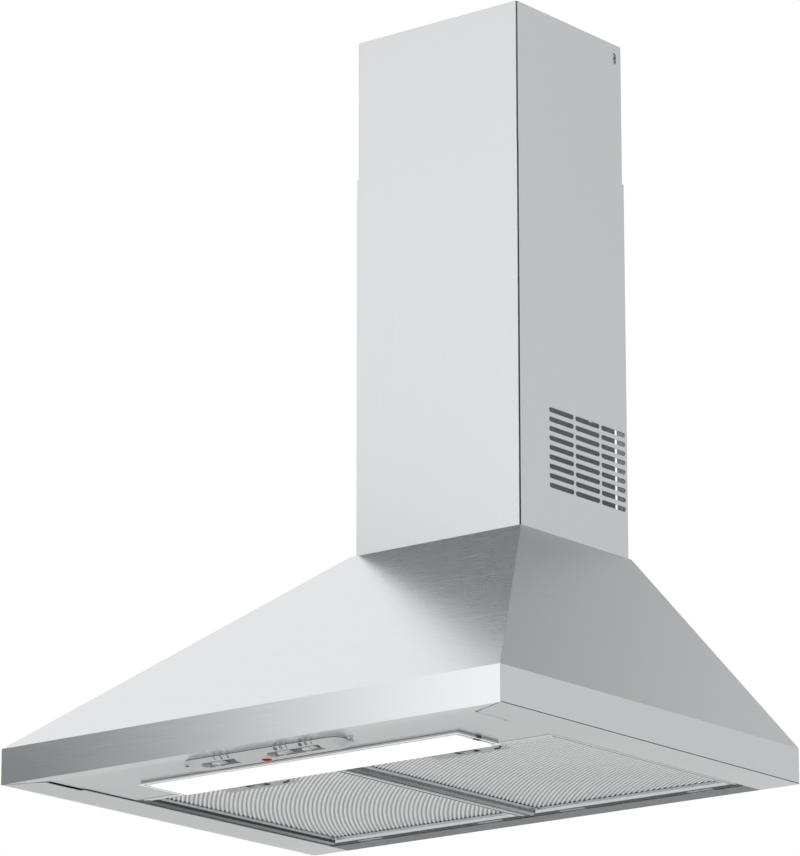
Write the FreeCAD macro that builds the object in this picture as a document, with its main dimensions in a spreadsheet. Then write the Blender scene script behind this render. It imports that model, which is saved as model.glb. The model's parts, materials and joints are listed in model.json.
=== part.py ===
import FreeCAD, Part
import math
import os

import Sketcher

# Chimney range hood.  Millimetres, +Z up, +X to the right of a user who faces the hood.
# The origin is on the wall, midway along the hood's rear bottom edge; the hood reaches to -Y.

vector = FreeCAD.Vector
document = FreeCAD.newDocument("ChimneyHood")

driving_sizes = {
    # canopy
    "canopy_width": 598,
    "canopy_depth": 470,
    "canopy_height": 250,
    "fascia_height": 35,
    "sheet": 0.8,
    "top_ledge": 3.75,
    "top_flange": 12,
    "side_flange": 45,
    "front_flange": 21,
    "mitre_inset": 41,
    "rear_flange": 24,
    "rear_return": 14,
    "flange_hem": 4,
    "seat_gap": 0.3,
    "slope_play": 0.4,
    "plate_relief": 0.5,
    "screw_clearance": 0.2,
    "bite": 0.2,
    "deck_screw_inset": 4.75,
    "deck_screw_row": 30,
    "deck_screw_length": 9,
    # underside panel, folded from the front sheet
    "panel_rise": 1.1,
    "panel_setback": 140,
    "panel_lip": 6.1,
    "panel_slit": 2.6,
    "panel_notch": 47,
    "notch_margin": 1,
    "window_end_margin": 20,
    "window_front_margin": 10,
    "window_rear_margin": 14,
    "window_corner": 3,
    # back plate, which rises inside the chimney and carries the keyholes
    "neck_half": 88,
    "neck_top": 432,
    "keyhole_spacing": 120,
    "keyhole_height": 404,
    "keyhole_radius": 5,
    "keyhole_slot": 5,
    "keyhole_rise": 10,
    "wall_hole_spacing": 400,
    "wall_hole_height": 62,
    "wall_hole_radius": 3,
    # chimney
    "chimney_width": 204.5,
    "chimney_depth": 177.5,
    "lower_cover_top": 641.5,
    "upper_cover_top": 788.5,
    "upper_cover_length": 378,
    "cover_gap": 0.3,
    "cover_bend": 2.4,
    "cover_return": 12,
    "vent_length": 40.2,
    "vent_width": 5,
    "vent_rows": 9,
    "vent_columns": 3,
    "vent_row_pitch": 9.53,
    "vent_column_pitch": 43,
    "vent_first_row": 300.8,
    "vent_rear_margin": 3.3,
    "fixing_slot_width": 5,
    "fixing_slot_length": 12,
    "fixing_slot_inset": 11.8,
    "fixing_slot_drop": 15,
    "bracket_sheet": 1.2,
    "bracket_height": 34,
    "bracket_drop": 2.5,
    "bracket_ear": 26,
    "bracket_step": 3,
    "bracket_hole_spacing": 120,
    "bracket_hole_radius": 3,
    "fixing_hole_radius": 1.7,
    "cover_bracket_width": 20,
    "cover_bracket_foot": 6,
    "cover_bracket_height": 12,
    # air outlet
    "collar_radius": 75,
    "collar_wall": 2,
    "collar_height": 55,
    "collar_base": 79,
    "collar_corner": 12,
    "damper_height": 20,
    "damper_plate": 1,
    "damper_gap": 1.5,
    "damper_relief": 0.5,
    "damper_web": 2,
    "damper_ledge": 2,
    "damper_ledge_reach": 4,
    "damper_pin_radius": 2,
    "knuckle_radius": 4,
    "knuckle_length": 20,
    "knuckle_near": 12,
    "knuckle_far": 36,
    "pin_clearance": 0.06,
    # blower
    "blower_width": 100,
    "blower_wall": 2,
    "blower_height": 135,
    "scroll_start": 80,
    "scroll_growth": 12,
    "throat_inner": 12,
    "inlet_radius": 58,
    "inlet_rim": 3,
    "inlet_rim_depth": 6,
    "blower_flange": 9,
    "blower_screw_reach_x": 6.75,
    "blower_screw_reach_y": 5.85,
    "impeller_radius": 70,
    "impeller_inner": 57,
    "impeller_width": 84,
    "impeller_blades": 36,
    "impeller_ring": 2,
    "impeller_ring_width": 6,
    "blade_lean": 4.55,
    "blade_setback": 0.6,
    "blade_thickness": 1.2,
    "hub_radius": 10,
    "hub_overlap": 0.5,
    "hub_length": 26,
    "shaft_radius": 4,
    "motor_radius": 42,
    "motor_length": 62,
    "motor_outreach": 96,
    "motor_nose": 14,
    "motor_collar": 4,
    "bell_depth": 8,
    "bell_step": 3,
    "shaft_depth": 44.8,
    "shaft_end": 2,
    "spider_standoff": 10,
    "spider_sheet": 1.5,
    "spider_ring": 8,
    "mount_circle": 68,
    "mount_radius": 7,
    "mount_waist": 5,
    "mount_flange": 3.4,
    "mount_gap": 0.1,
    "motor_screw_gap": 0.4,
    "arm_width": 14,
    "capacitor_radius": 15,
    "capacitor_length": 58,
    "capacitor_standoff": 2,
    "capacitor_aside": 19.6,
    "capacitor_drop": 6,
    "capacitor_crown": 3,
    "clip_band_height": 12,
    "clip_foot_reach": 24,
    "clip_band_sheet": 1.5,
    "wiring_box_width": 70,
    "wiring_box_height": 52,
    "wiring_box_depth": 34,
    "wiring_box_wall": 2,
    "wiring_box_corner": 4,
    "wiring_box_aside": 4.9,
    "wiring_box_drop": 2,
    "lid_plug": 2.5,
    "terminal_ways": 4,
    "terminal_pitch": 11,
    "terminal_depth": 14,
    "terminal_height": 17,
    "terminal_screw_radius": 2.2,
    "gland_radius": 6,
    "gland_bore": 3.5,
    "gland_inset": 86.5,
    "gland_setback": 30,
    "gland_step": 1,
    "gland_nut": 7,
    "gland_dome": 5,
    "gland_lock": 4,
    # grease filters
    "filter_gap": 1.5,
    "filter_middle": 1,
    "filter_frame": 13.5,
    "filter_bottom": 3,
    "filter_thickness": 9,
    "filter_wall": 1,
    "filter_corner": 2,
    "mesh_seat": 4,
    "mesh_bottom": 5.8,
    "mesh_thickness": 3,
    "tab_width": 30,
    "tab_reach": 9,
    "tab_spread": 76,
    "tab_thickness": 1.2,
    "tab_rise": 2,
    "latch_plate_width": 86,
    "latch_plate_reach": 48,
    "latch_pocket_width": 27,
    "latch_pocket_length": 19,
    "latch_pocket_reach": 21.5,
    "latch_tab": 7,
    "latch_travel": 6,
    "latch_rake": 2.5,
    "latch_edge": 1.2,
    "tongue_width": 4,
    "tongue_thickness": 1.5,
    "tongue_overlap": 4,
    "prong_play": 0.5,
    # controls
    "control_offset": -2,
    "pod_half_length": 94,
    "pod_setback": 26,
    "pod_width": 44,
    "pod_depth": 6.1,
    "pod_corner": 12,
    "pod_bow": 28,
    "pod_front_slope": 7,
    "pod_end_slope": 6,
    "pod_rear_slope": 18,
    "pod_low_corner": 7.2,
    "pod_low_bow": 12.6,
    "knob_length": 13.5,
    "knob_width": 9,
    "knob_height": 2.9,
    "knob_edge": 1.2,
    "knob_grip": 4.8,
    "speed_rest": -52.75,
    "fan_rest": 26.25,
    "lamp_rest": 55.75,
    "speed_travel": 14.6,
    "toggle_travel": 6.8,
    "finger_dish": 13,
    "slot_margin": 4.5,
    "slot_width": 11,
    "slot_corner": 2.5,
    "slot_floor": -2.6,
    "stem_width": 2.4,
    "stem_length": 5,
    "stem_margin": 3.96,
    "stem_play": 0.5,
    "stem_rise": 3,
    "pilot_x": -5,
    "pilot_margin": 20,
    "pilot_radius": 5,
    "pilot_dome": 1.4,
    "pilot_stem": 4,
    "carrier_half_length": 103,
    "carrier_width": 30,
    "carrier_sheet": 2,
    "carrier_aside": 3,
    "carrier_corner": 5,
    "switch_length": 28,
    "switch_width": 14,
    "switch_height": 13,
    "blade_thin": 0.8,
    "blade_wide": 4.8,
    "blade_length": 6,
    "blade_margin": 5,
    "control_screw_reach": 98,
    "control_screw_setback": 15,
    "control_screw_length": 8,
    "screw_radius": 1.9,
    "screw_head_radius": 3,
    "screw_head": 1.8,
    # lamp
    "lens_half_length": 192,
    "lens_setback": 77.5,
    "lens_width": 62.3,
    "lens_flange": 1.6,
    "lens_rim": 9,
    "lens_drop": 1.6,
    "lens_rib": 4.5,
    "lens_corner": 3,
    "lens_spread": 1,
    "lens_skin": 1.4,
    "lens_hollow_inset": 3,
    "rib_play": 1,
    "rib_wall": 1.2,
    "hook_width": 10,
    "hook_spacing": 30,
    "hook_reach": 5,
    "hook_inset": 0.2,
    "hook_thickness": 1.2,
    "hook_root": 0.5,
    "hook_arm": 1,
    "hook_slot_width": 2.8,
    "hook_slot_margin": 0.7,
    "aperture_inset": 17,
    "aperture_corner": 4,
    "lamp_box_height": 44,
    "lamp_box_lip": 3,
    "tray_margin": 1,
    "tray_corner": 4.2,
    "clip_width": 8,
    "clip_notch": 3,
    "clip_sheet": 1,
    "clip_catch": 0.9,
    "clip_foot_inner": 4,
    "clip_foot_outer": 12,
    "bulb_radius": 17.5,
    "bulb_length": 98,
    "bulb_play": 0.8,
    "holder_radius": 13.5,
    "holder_length": 30,
    "holder_foot": 8,
    "holder_step": 2,
    "holder_wall": 4,
}


class Measure:
    # A length together with its formula, so every outline can be bound to the sheet.
    def __init__(self, value, formula):
        self.value = float(value)
        self.formula = formula

    def __add__(self, other):
        return combined(self, "+", other)

    def __radd__(self, other):
        return combined(other, "+", self)

    def __sub__(self, other):
        return combined(self, "-", other)

    def __rsub__(self, other):
        return combined(other, "-", self)

    def __mul__(self, other):
        return combined(self, "*", other)

    def __rmul__(self, other):
        return combined(other, "*", self)

    def __truediv__(self, other):
        return combined(self, "/", other)

    def __neg__(self):
        return combined(-1, "*", self)


operations = {
    "+": lambda left, right: left + right,
    "-": lambda left, right: left - right,
    "*": lambda left, right: left * right,
    "/": lambda left, right: left / right,
}


def as_measure(quantity):
    if isinstance(quantity, Measure):
        return quantity
    return Measure(quantity, f"{quantity:.6f}" if quantity >= 0 else f"(0 - {-quantity:.6f})")


def combined(left, sign, right):
    left = as_measure(left)
    right = as_measure(right)
    value = operations[sign](left.value, right.value)
    return Measure(value, f"({left.formula} {sign} {right.formula})")


def diagonal(run, rise):
    return Measure(
        math.hypot(run.value, rise.value),
        f"sqrt({run.formula} * {run.formula} + {rise.formula} * {rise.formula})",
    )


class Sizes:
    pass


def fill_sheet():
    sheet = document.addObject("Spreadsheet::Sheet", "Sizes")
    sizes = Sizes()
    for row, (alias, value) in enumerate(driving_sizes.items(), start=1):
        sheet.set(f"A{row}", alias)
        sheet.set(f"B{row}", str(value))
        sheet.setAlias(f"B{row}", alias)
        setattr(sizes, alias, Measure(value, f"Sizes.{alias}"))
    document.recompute()
    return sizes


size = fill_sheet()
nodes = {}


def bind(item, path, quantity):
    item.setExpression(path, as_measure(quantity).formula)


def kept(label, item):
    item.Label = label
    nodes[label] = item
    return item


def move(item, x=0, y=0, z=0, rotation=None):
    item.Placement = FreeCAD.Placement(
        vector(as_measure(x).value, as_measure(y).value, as_measure(z).value),
        rotation or FreeCAD.Rotation(),
    )
    bind(item, "Placement.Base.x", x)
    bind(item, "Placement.Base.y", y)
    bind(item, "Placement.Base.z", z)
    return item


# Sketches


def new_body(label):
    body = document.addObject("PartDesign::Body", label)
    return kept(label, body)


def origin_item(body, role):
    return next(item for item in body.Origin.OriginFeatures if item.Role == role)


def new_sketch(body, role, lift=0):
    sketch = body.newObject("Sketcher::SketchObject", f"{body.Label}_outline")
    sketch.AttachmentSupport = (origin_item(body, role), [""])
    sketch.MapMode = "FlatFace"
    bind(sketch, ".AttachmentOffset.Base.z", lift)
    return sketch


def pin(sketch, geometry, point, x, y):
    for kind, quantity in (("DistanceX", as_measure(x)), ("DistanceY", as_measure(y))):
        index = sketch.addConstraint(
            Sketcher.Constraint(kind, -1, 1, geometry, point, quantity.value)
        )
        name = f"{kind}{geometry}at{point}"
        sketch.renameConstraint(index, name)
        sketch.setExpression(f"Constraints.{name}", quantity.formula)


def set_radius(sketch, geometry, radius):
    radius = as_measure(radius)
    index = sketch.addConstraint(Sketcher.Constraint("Radius", geometry, abs(radius.value)))
    name = f"Radius{geometry}"
    sketch.renameConstraint(index, name)
    sketch.setExpression(f"Constraints.{name}", f"abs({radius.formula})")


def arc_between(start, end, radius):
    # The short arc from start to end: counter-clockwise for a positive radius.
    chord = end - start
    half = chord.Length / 2
    reach = math.sqrt(max(radius * radius - half * half, 0.0))
    left = vector(-chord.y, chord.x, 0).normalize()
    centre = (start + end) / 2 + left * (reach if radius > 0 else -reach)
    circle = Part.Circle(centre, vector(0, 0, 1), abs(radius))
    first, last = (start, end) if radius > 0 else (end, start)
    first_angle = math.atan2(first.y - centre.y, first.x - centre.x)
    last_angle = math.atan2(last.y - centre.y, last.x - centre.x)
    if last_angle < first_angle:
        last_angle += 2 * math.pi
    return Part.ArcOfCircle(circle, first_angle, last_angle)


def draw_loop(sketch, corners):
    # Each corner is (x, y), or (x, y, radius) where the side that arrives there is an arc.
    points = [vector(as_measure(c[0]).value, as_measure(c[1]).value, 0) for c in corners]
    ends = []
    for index, corner in enumerate(corners):
        start = points[index - 1]
        end = points[index]
        if len(corner) == 3:
            radius = as_measure(corner[2])
            geometry = sketch.addGeometry(arc_between(start, end, radius.value))
            set_radius(sketch, geometry, radius)
            ends.append((geometry, 1, 2) if radius.value > 0 else (geometry, 2, 1))
        else:
            geometry = sketch.addGeometry(Part.LineSegment(start, end))
            ends.append((geometry, 1, 2))
    for index, corner in enumerate(corners):
        geometry, _, last = ends[index]
        following, first, _ = ends[(index + 1) % len(ends)]
        sketch.addConstraint(Sketcher.Constraint("Coincident", geometry, last, following, first))
        pin(sketch, geometry, last, corner[0], corner[1])


def draw_circle(sketch, x, y, radius):
    centre = vector(as_measure(x).value, as_measure(y).value, 0)
    circle = Part.Circle(centre, vector(0, 0, 1), as_measure(radius).value)
    geometry = sketch.addGeometry(circle)
    pin(sketch, geometry, 3, x, y)
    set_radius(sketch, geometry, radius)


def draw_slot(sketch, x, y, length, width, upright=False):
    # A slot with round ends, centred on (x, y).
    half = (length - width) / 2
    along = (0, half) if upright else (half, 0)
    radius = width / 2
    turn = math.pi / 2 if upright else 0
    arcs = []
    for sign in (1, -1):
        centre_x = x + sign * along[0]
        centre_y = y + sign * along[1]
        centre = vector(as_measure(centre_x).value, as_measure(centre_y).value, 0)
        start = turn - sign * math.pi / 2
        circle = Part.Circle(centre, vector(0, 0, 1), radius.value)
        arc = sketch.addGeometry(Part.ArcOfCircle(circle, start, start + math.pi))
        pin(sketch, arc, 3, centre_x, centre_y)
        set_radius(sketch, arc, radius)
        arcs.append(arc)
    for first, second in ((arcs[0], arcs[1]), (arcs[1], arcs[0])):
        start = sketch.Geometry[first].EndPoint
        end = sketch.Geometry[second].StartPoint
        side = sketch.addGeometry(Part.LineSegment(start, end))
        sketch.addConstraint(Sketcher.Constraint("Tangent", first, 2, side, 1))
        sketch.addConstraint(Sketcher.Constraint("Tangent", side, 2, second, 1))


def in_order(first, second):
    return (first, second) if first.value < second.value else (second, first)


def rectangle(left, right, low, high):
    return [(left, low), (right, low), (right, high), (left, high)]


def rounded(left, right, low, high, radius):
    return [
        (left + radius, low),
        (right - radius, low),
        (right, low + radius, radius),
        (right, high - radius),
        (right - radius, high, radius),
        (left + radius, high),
        (left, high - radius, radius),
        (left, low + radius),
        (left + radius, low, radius),
    ][1:]


def mirrored_loop(corners):
    # The same outline on the other side of the hood's middle plane.
    return [(-as_measure(corner[0]), *corner[1:2], *[-r for r in corner[2:]]) for corner in corners]


# Features


def extrude(body, kind, sketch, length, backwards=False, symmetric=False):
    feature = body.newObject(f"PartDesign::{kind}", f"{body.Label}_{kind}")
    feature.Profile = sketch
    feature.Length = as_measure(length).value
    bind(feature, "Length", length)
    feature.Reversed = backwards
    if symmetric:
        feature.SideType = "Symmetric"
    sketch.Visibility = False
    return feature


def pad(body, role, loops, length, lift=0, backwards=False, symmetric=False):
    sketch = new_sketch(body, role, lift)
    for loop in loops:
        draw_loop(sketch, loop)
    return extrude(body, "Pad", sketch, length, backwards, symmetric)


def cut(body, role, loops, length, lift=0, symmetric=False):
    # The cut runs along the plane's own normal, from the lifted plane.
    sketch = new_sketch(body, role, lift)
    for loop in loops:
        draw_loop(sketch, loop)
    return extrude(body, "Pocket", sketch, length, not symmetric, symmetric)


def drill(body, role, circles, length, lift=0):
    sketch = new_sketch(body, role, lift)
    for x, y, radius in circles:
        draw_circle(sketch, x, y, radius)
    return extrude(body, "Pocket", sketch, length, True)


def turned(label, corners, role="XY_Plane", axis="H_Axis"):
    body = new_body(label)
    sketch = new_sketch(body, role)
    draw_loop(sketch, corners)
    feature = body.newObject("PartDesign::Revolution", f"{label}_Revolution")
    feature.Profile = sketch
    feature.ReferenceAxis = (sketch, [axis])
    feature.Angle = 360
    return body


def block(name, x_range, y_range, z_range):
    box = document.addObject("Part::Box", name)
    for side, (low, high) in zip(("Length", "Width", "Height"), (x_range, y_range, z_range)):
        setattr(box, side, as_measure(high - low).value)
        bind(box, side, high - low)
    return move(box, x_range[0], y_range[0], z_range[0])


axis_turns = {
    "x": FreeCAD.Rotation(vector(0, 1, 0), 90),
    "y": FreeCAD.Rotation(vector(1, 0, 0), -90),
    "z": FreeCAD.Rotation(),
}


def rod(name, axis, start, radius, length):
    cylinder = document.addObject("Part::Cylinder", name)
    cylinder.Radius = as_measure(radius).value
    cylinder.Height = as_measure(length).value
    bind(cylinder, "Radius", radius)
    bind(cylinder, "Height", length)
    return move(cylinder, *start, rotation=axis_turns[axis])


def joined(name, items):
    fusion = document.addObject("Part::MultiFuse", name)
    fusion.Shapes = items
    return fusion


def without(name, base, tools):
    difference = document.addObject("Part::Cut", name)
    difference.Base = base
    difference.Tool = tools[0] if len(tools) == 1 else joined(f"{name}_tools", tools)
    return difference


def group(label, items):
    compound = document.addObject("Part::Compound", label)
    compound.Links = items
    return kept(label, compound)


# Shared places

half_width = size.canopy_width / 2
flange_x = half_width - size.side_flange
mitre_x = half_width - size.mitre_inset
top_half = size.chimney_width / 2 + size.top_ledge
top_depth = size.chimney_depth + size.top_ledge
panel_top = size.panel_rise + size.sheet
deck_top = size.canopy_height - size.sheet
deck_bottom = deck_top - size.sheet
duct_y = -size.chimney_depth / 2
front_run = size.canopy_depth - top_depth
side_run = half_width - top_half
slope_rise = size.canopy_height - size.fascia_height
# places on the underside are set back from the canopy's front face
panel_end = size.panel_setback - size.canopy_depth
pod_front = size.pod_setback - size.canopy_depth
pod_rear = pod_front + size.pod_width
pod_screw_y = pod_front + size.control_screw_setback
pilot_y = pod_front + size.pilot_margin
lens_front = size.lens_setback - size.canopy_depth
lens_rear = lens_front + size.lens_width
lens_y = (lens_front + lens_rear) / 2
deck_screw_x = size.chimney_width / 2 - size.deck_screw_inset
deck_screw_rows = (-size.deck_screw_row, size.deck_screw_row - size.chimney_depth)
# the lamp cover tilts about the outer edge of the slots that its hooks pass through
lamp_pivot_x = -size.lens_half_length - size.hook_slot_margin
# how far a cut runs on past the faces that it opens
past = 1
well_past = 5


screw_hole = size.screw_radius + size.screw_clearance
lamp_half = size.lens_half_length - size.aperture_inset
aperture_front = lens_front + size.lens_rim
aperture_rear = lens_rear - size.lens_rim


def slope_inset(run, height):
    # How far in from the fascia's outer face the inner face of a slope is, at a height.
    slant = diagonal(run, slope_rise)
    return (size.sheet * slant + run * (height - size.fascia_height)) / slope_rise


def knee_height(run):
    slant = diagonal(run, slope_rise)
    return size.fascia_height - size.sheet * (slant - slope_rise) / run


def hook_rows():
    return [lens_y + sign * size.hook_spacing / 2 for sign in (1, -1)]


def canopy_front():
    body = new_body("canopy_front")
    face = -size.canopy_depth
    flange_end = face + size.front_flange
    pad(body, "YZ_Plane", [[
        (face, 0),
        (flange_end, size.panel_rise),
        (panel_end, size.panel_rise),
        (panel_end, size.panel_rise + size.panel_lip),
        (panel_end - size.sheet, size.panel_rise + size.panel_lip),
        (panel_end - size.sheet, panel_top),
        (flange_end, panel_top),
        (face + size.sheet, size.sheet),
        (face + size.sheet, knee_height(front_run)),
        (face + slope_inset(front_run, deck_top), deck_top),
        (size.top_flange - top_depth, deck_top),
        (size.top_flange - top_depth, size.canopy_height),
        (-top_depth, size.canopy_height),
        (face, size.fascia_height),
    ]], size.canopy_width, symmetric=True)
    beyond = half_width + well_past
    notch_x = mitre_x - size.panel_slit - size.notch_margin
    notch_y = flange_end + size.panel_notch
    panel_side = flange_x - size.panel_slit
    lower = [
        (half_width, face),
        (mitre_x, flange_end),
        (notch_x, flange_end),
        (notch_x, notch_y),
        (panel_side, notch_y),
        (panel_side, panel_end + past),
        (beyond, panel_end + past),
        (beyond, face),
    ]
    cut(body, "XY_Plane", [lower, mirrored_loop(lower)], size.fascia_height + past, lift=-past)
    corner = size.top_flange + past
    upper = [
        (half_width, face),
        (top_half, -top_depth),
        (top_half - corner, corner - top_depth),
        (beyond, corner - top_depth),
        (beyond, face),
    ]
    cut(body, "XY_Plane", [upper, mirrored_loop(upper)], slope_rise + past,
        lift=size.fascia_height)
    # aperture over the lamp, and the opening that the control stems pass
    through = panel_top + 2 * past
    cut(body, "XY_Plane", [rounded(
        -lamp_half, lamp_half, aperture_front, aperture_rear, size.aperture_corner,
    )], through, lift=-past)
    pod_x = size.control_offset
    window = size.pod_half_length - size.window_end_margin
    cut(body, "XY_Plane", [rounded(
        pod_x - window, pod_x + window,
        pod_front + size.window_front_margin, pod_rear - size.window_rear_margin,
        size.window_corner,
    )], through, lift=-past)
    drill(body, "XY_Plane", [
        (pod_x + sign * size.control_screw_reach, pod_screw_y, screw_hole) for sign in (1, -1)
    ], through, lift=-past)
    for y in hook_rows():
        half = size.hook_width / 2 + size.seat_gap
        cut(body, "XY_Plane", [rectangle(
            lamp_pivot_x, lamp_pivot_x + size.hook_slot_width, y - half, y + half,
        )], through, lift=-past)
    clip = size.clip_width / 2 + size.seat_gap
    cut(body, "XY_Plane", [rectangle(
        size.lens_half_length - size.clip_notch, size.lens_half_length - size.seat_gap,
        lens_y - clip, lens_y + clip,
    )], through, lift=-past)


def canopy_side(label, side):
    body = new_body(label)
    pad(body, "XZ_Plane", [[
        (side * half_width, 0),
        (side * half_width, size.fascia_height),
        (side * top_half, size.canopy_height),
        (side * (top_half - size.top_flange), size.canopy_height),
        (side * (top_half - size.top_flange), deck_top),
        (side * (half_width - slope_inset(side_run, deck_top)), deck_top),
        (side * (half_width - size.sheet), knee_height(side_run)),
        (side * (half_width - size.sheet), size.sheet),
        (side * (flange_x + size.sheet), size.sheet),
        (side * (flange_x + size.sheet), size.flange_hem),
        (side * flange_x, size.flange_hem),
        (side * flange_x, 0),
    ]], size.canopy_depth)
    face = -size.canopy_depth
    flange_end = face + size.front_flange
    notch_y = flange_end + size.panel_notch
    cut(body, "XY_Plane", [[
        (side * half_width, face),
        (side * mitre_x, flange_end),
        (side * mitre_x, notch_y),
        (side * (flange_x - well_past), notch_y),
        (side * (flange_x - well_past), face - well_past),
        (side * half_width, face - well_past),
    ]], size.fascia_height + past, lift=-past)
    corner = size.top_flange + past
    cut(body, "XY_Plane", [[
        (side * half_width, face),
        (side * top_half, -top_depth),
        (side * (top_half - corner), corner - top_depth),
        (side * (top_half - corner - well_past), corner - top_depth),
        (side * (top_half - corner - well_past), face - well_past),
        (side * half_width, face - well_past),
    ]], slope_rise + past, lift=size.fascia_height)
    pad(body, "XZ_Plane", [[
        (side * half_width, 0),
        (side * half_width, size.fascia_height),
        (side * top_half, size.canopy_height),
        (side * (top_half - size.top_flange), size.canopy_height),
        (side * (half_width - size.rear_return), size.fascia_height),
        (side * (half_width - size.rear_return), 0),
    ]], size.sheet)
    drill(body, "XY_Plane", [
        (side * deck_screw_x, row, screw_hole) for row in deck_screw_rows
    ], size.sheet + 2 * past, lift=deck_top - past)


def canopy_back():
    body = new_body("canopy_back")
    plate_x = half_width - size.sheet - size.seat_gap
    flange_half = flange_x - size.seat_gap
    foot = size.flange_hem + size.seat_gap
    low_x = half_width - slope_inset(side_run, size.fascia_height) - size.slope_play
    top_x = half_width - slope_inset(side_run, deck_bottom) - size.slope_play
    right = [
        (flange_half, 0),
        (flange_half, foot),
        (plate_x - size.plate_relief, foot),
        (low_x, size.fascia_height),
        (top_x, deck_bottom),
        (size.neck_half, deck_bottom),
        (size.neck_half, size.neck_top),
    ]
    left = [(-x, z) for x, z in reversed(right)]
    pad(body, "XZ_Plane", [right + left], size.sheet, lift=size.sheet)
    pad(body, "XY_Plane", [rectangle(-flange_half, flange_half, -size.rear_flange, 0)], size.sheet)
    slot = size.keyhole_slot / 2
    depth = size.sheet * 4
    for side in (1, -1):
        x = side * size.keyhole_spacing / 2
        cut(body, "XZ_Plane", [rectangle(
            x - slot, x + slot, size.keyhole_height, size.keyhole_height + size.keyhole_rise,
        )], depth)
    drill(body, "XZ_Plane", [
        (side * size.keyhole_spacing / 2, height, radius)
        for side in (1, -1)
        for height, radius in (
            (size.keyhole_height, size.keyhole_radius),
            (size.keyhole_height + size.keyhole_rise, slot),
        )
    ], depth)
    drill(body, "XZ_Plane", [
        (side * size.wall_hole_spacing / 2, size.wall_hole_height, size.wall_hole_radius)
        for side in (1, -1)
    ], depth)


def canopy_deck():
    # The plate under the canopy's top flanges that carries the blower and the air outlet.
    body = new_body("canopy_deck")
    half = half_width - slope_inset(side_run, deck_top) - size.slope_play
    front = slope_inset(front_run, deck_top) + size.slope_play - size.canopy_depth
    rear = -size.sheet * 2 - size.seat_gap
    pad(body, "XY_Plane", [
        rectangle(-half, half, front, rear),
        rectangle(-throat_half_x, throat_half_x, duct_y - throat_half_y, duct_y + throat_half_y),
    ], size.sheet, lift=deck_bottom)
    holes = [
        (side * deck_screw_x, row, screw_hole) for side in (1, -1) for row in deck_screw_rows
    ]
    holes += [(x, y, screw_hole) for x, y in blower_screw_places()]
    holes.append((-size.gland_inset, -size.gland_setback, size.gland_radius - size.gland_step))
    drill(body, "XY_Plane", holes, size.sheet + 2 * past, lift=deck_bottom - past)


# The blower hangs from the deck with its throat under the air outlet.

scroll_end = size.scroll_growth / 2 + size.scroll_start + size.scroll_growth * 2
throat_half_y = (scroll_end - size.throat_inner) / 2
throat_half_x = size.blower_width / 2 - size.blower_wall
blower_y = duct_y - (scroll_end + size.throat_inner) / 2
blower_z = size.blower_height
blower_top = deck_bottom
blower_flange_bottom = blower_top - size.blower_wall


def blower_screw_places():
    x = throat_half_x + size.blower_screw_reach_x
    y = throat_half_y + size.blower_screw_reach_y
    return [(sx * x, duct_y + sy * y) for sx in (1, -1) for sy in (1, -1)]


def screw(name, x, y, z, length, downwards):
    # A pan-head screw with its head's seat at z and its shank up or down from there.
    shank_start = z - length if downwards else z
    head_start = z if downwards else z - size.screw_head
    head = rod(f"{name}_head", "z", (x, y, head_start), size.screw_head_radius, size.screw_head)
    shank = rod(f"{name}_shank", "z", (x, y, shank_start), size.screw_radius, length)
    return joined(name, [head, shank])


def deck_screws():
    group("deck_screws", [
        screw(f"deck_screw_{index}", side * deck_screw_x, row, size.canopy_height,
              size.deck_screw_length, True)
        for index, (side, row) in enumerate(
            (side, row) for side in (1, -1) for row in deck_screw_rows
        )
    ])


# the blower's screws hold the scroll's flange, the deck and the collar's base together
blower_screw_length = size.blower_wall + size.sheet + size.collar_wall - size.seat_gap


def blower_screws():
    group("blower_screws", [
        screw(f"blower_screw_{index}", x, y, blower_flange_bottom, blower_screw_length, False)
        for index, (x, y) in enumerate(blower_screw_places())
    ])


# Chimney


def cover_outline(inset):
    half = size.chimney_width / 2 - inset
    front = inset - size.chimney_depth
    rear = -as_measure(inset)
    bend = size.cover_bend
    sheet = size.sheet
    lip = half - size.cover_return
    return [
        (lip, rear),
        (half, rear),
        (half, front + bend),
        (half - bend, front, -bend),
        (bend - half, front),
        (-half, front + bend, -bend),
        (-half, rear),
        (-lip, rear),
        (-lip, rear - sheet),
        (sheet - half, rear - sheet),
        (sheet - half, front + bend),
        (bend - half, front + sheet, bend - sheet),
        (half - bend, front + sheet),
        (half - sheet, front + bend, bend - sheet),
        (half - sheet, rear - sheet),
        (lip, rear - sheet),
    ]


def lower_chimney_cover():
    body = new_body("lower_chimney_cover")
    bottom = size.canopy_height + size.seat_gap
    pad(body, "XY_Plane", [cover_outline(0)], size.lower_cover_top - bottom, lift=bottom)
    # one row of air slots through both side walls, repeated upwards
    sketch = new_sketch(body, "YZ_Plane")
    first_y = -size.vent_rear_margin - size.vent_length / 2
    for column in range(driving_sizes["vent_columns"]):
        draw_slot(sketch, first_y - column * size.vent_column_pitch, size.vent_first_row,
                  size.vent_length, size.vent_width)
    row = extrude(body, "Pocket", sketch, size.chimney_width + 2 * past, symmetric=True)
    rows = body.newObject("PartDesign::LinearPattern", "vent_rows")
    rows.Originals = [row]
    rows.Direction = (origin_item(body, "Z_Axis"), [""])
    rows.Occurrences = driving_sizes["vent_rows"]
    rows.Length = size.vent_row_pitch.value * (driving_sizes["vent_rows"] - 1)
    bind(rows, "Length", size.vent_row_pitch * (size.vent_rows - 1))
    body.Tip = rows


cover_inset = size.sheet + size.cover_gap
fixing_y = -size.fixing_slot_inset
fixing_z = size.upper_cover_top - size.fixing_slot_drop


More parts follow.
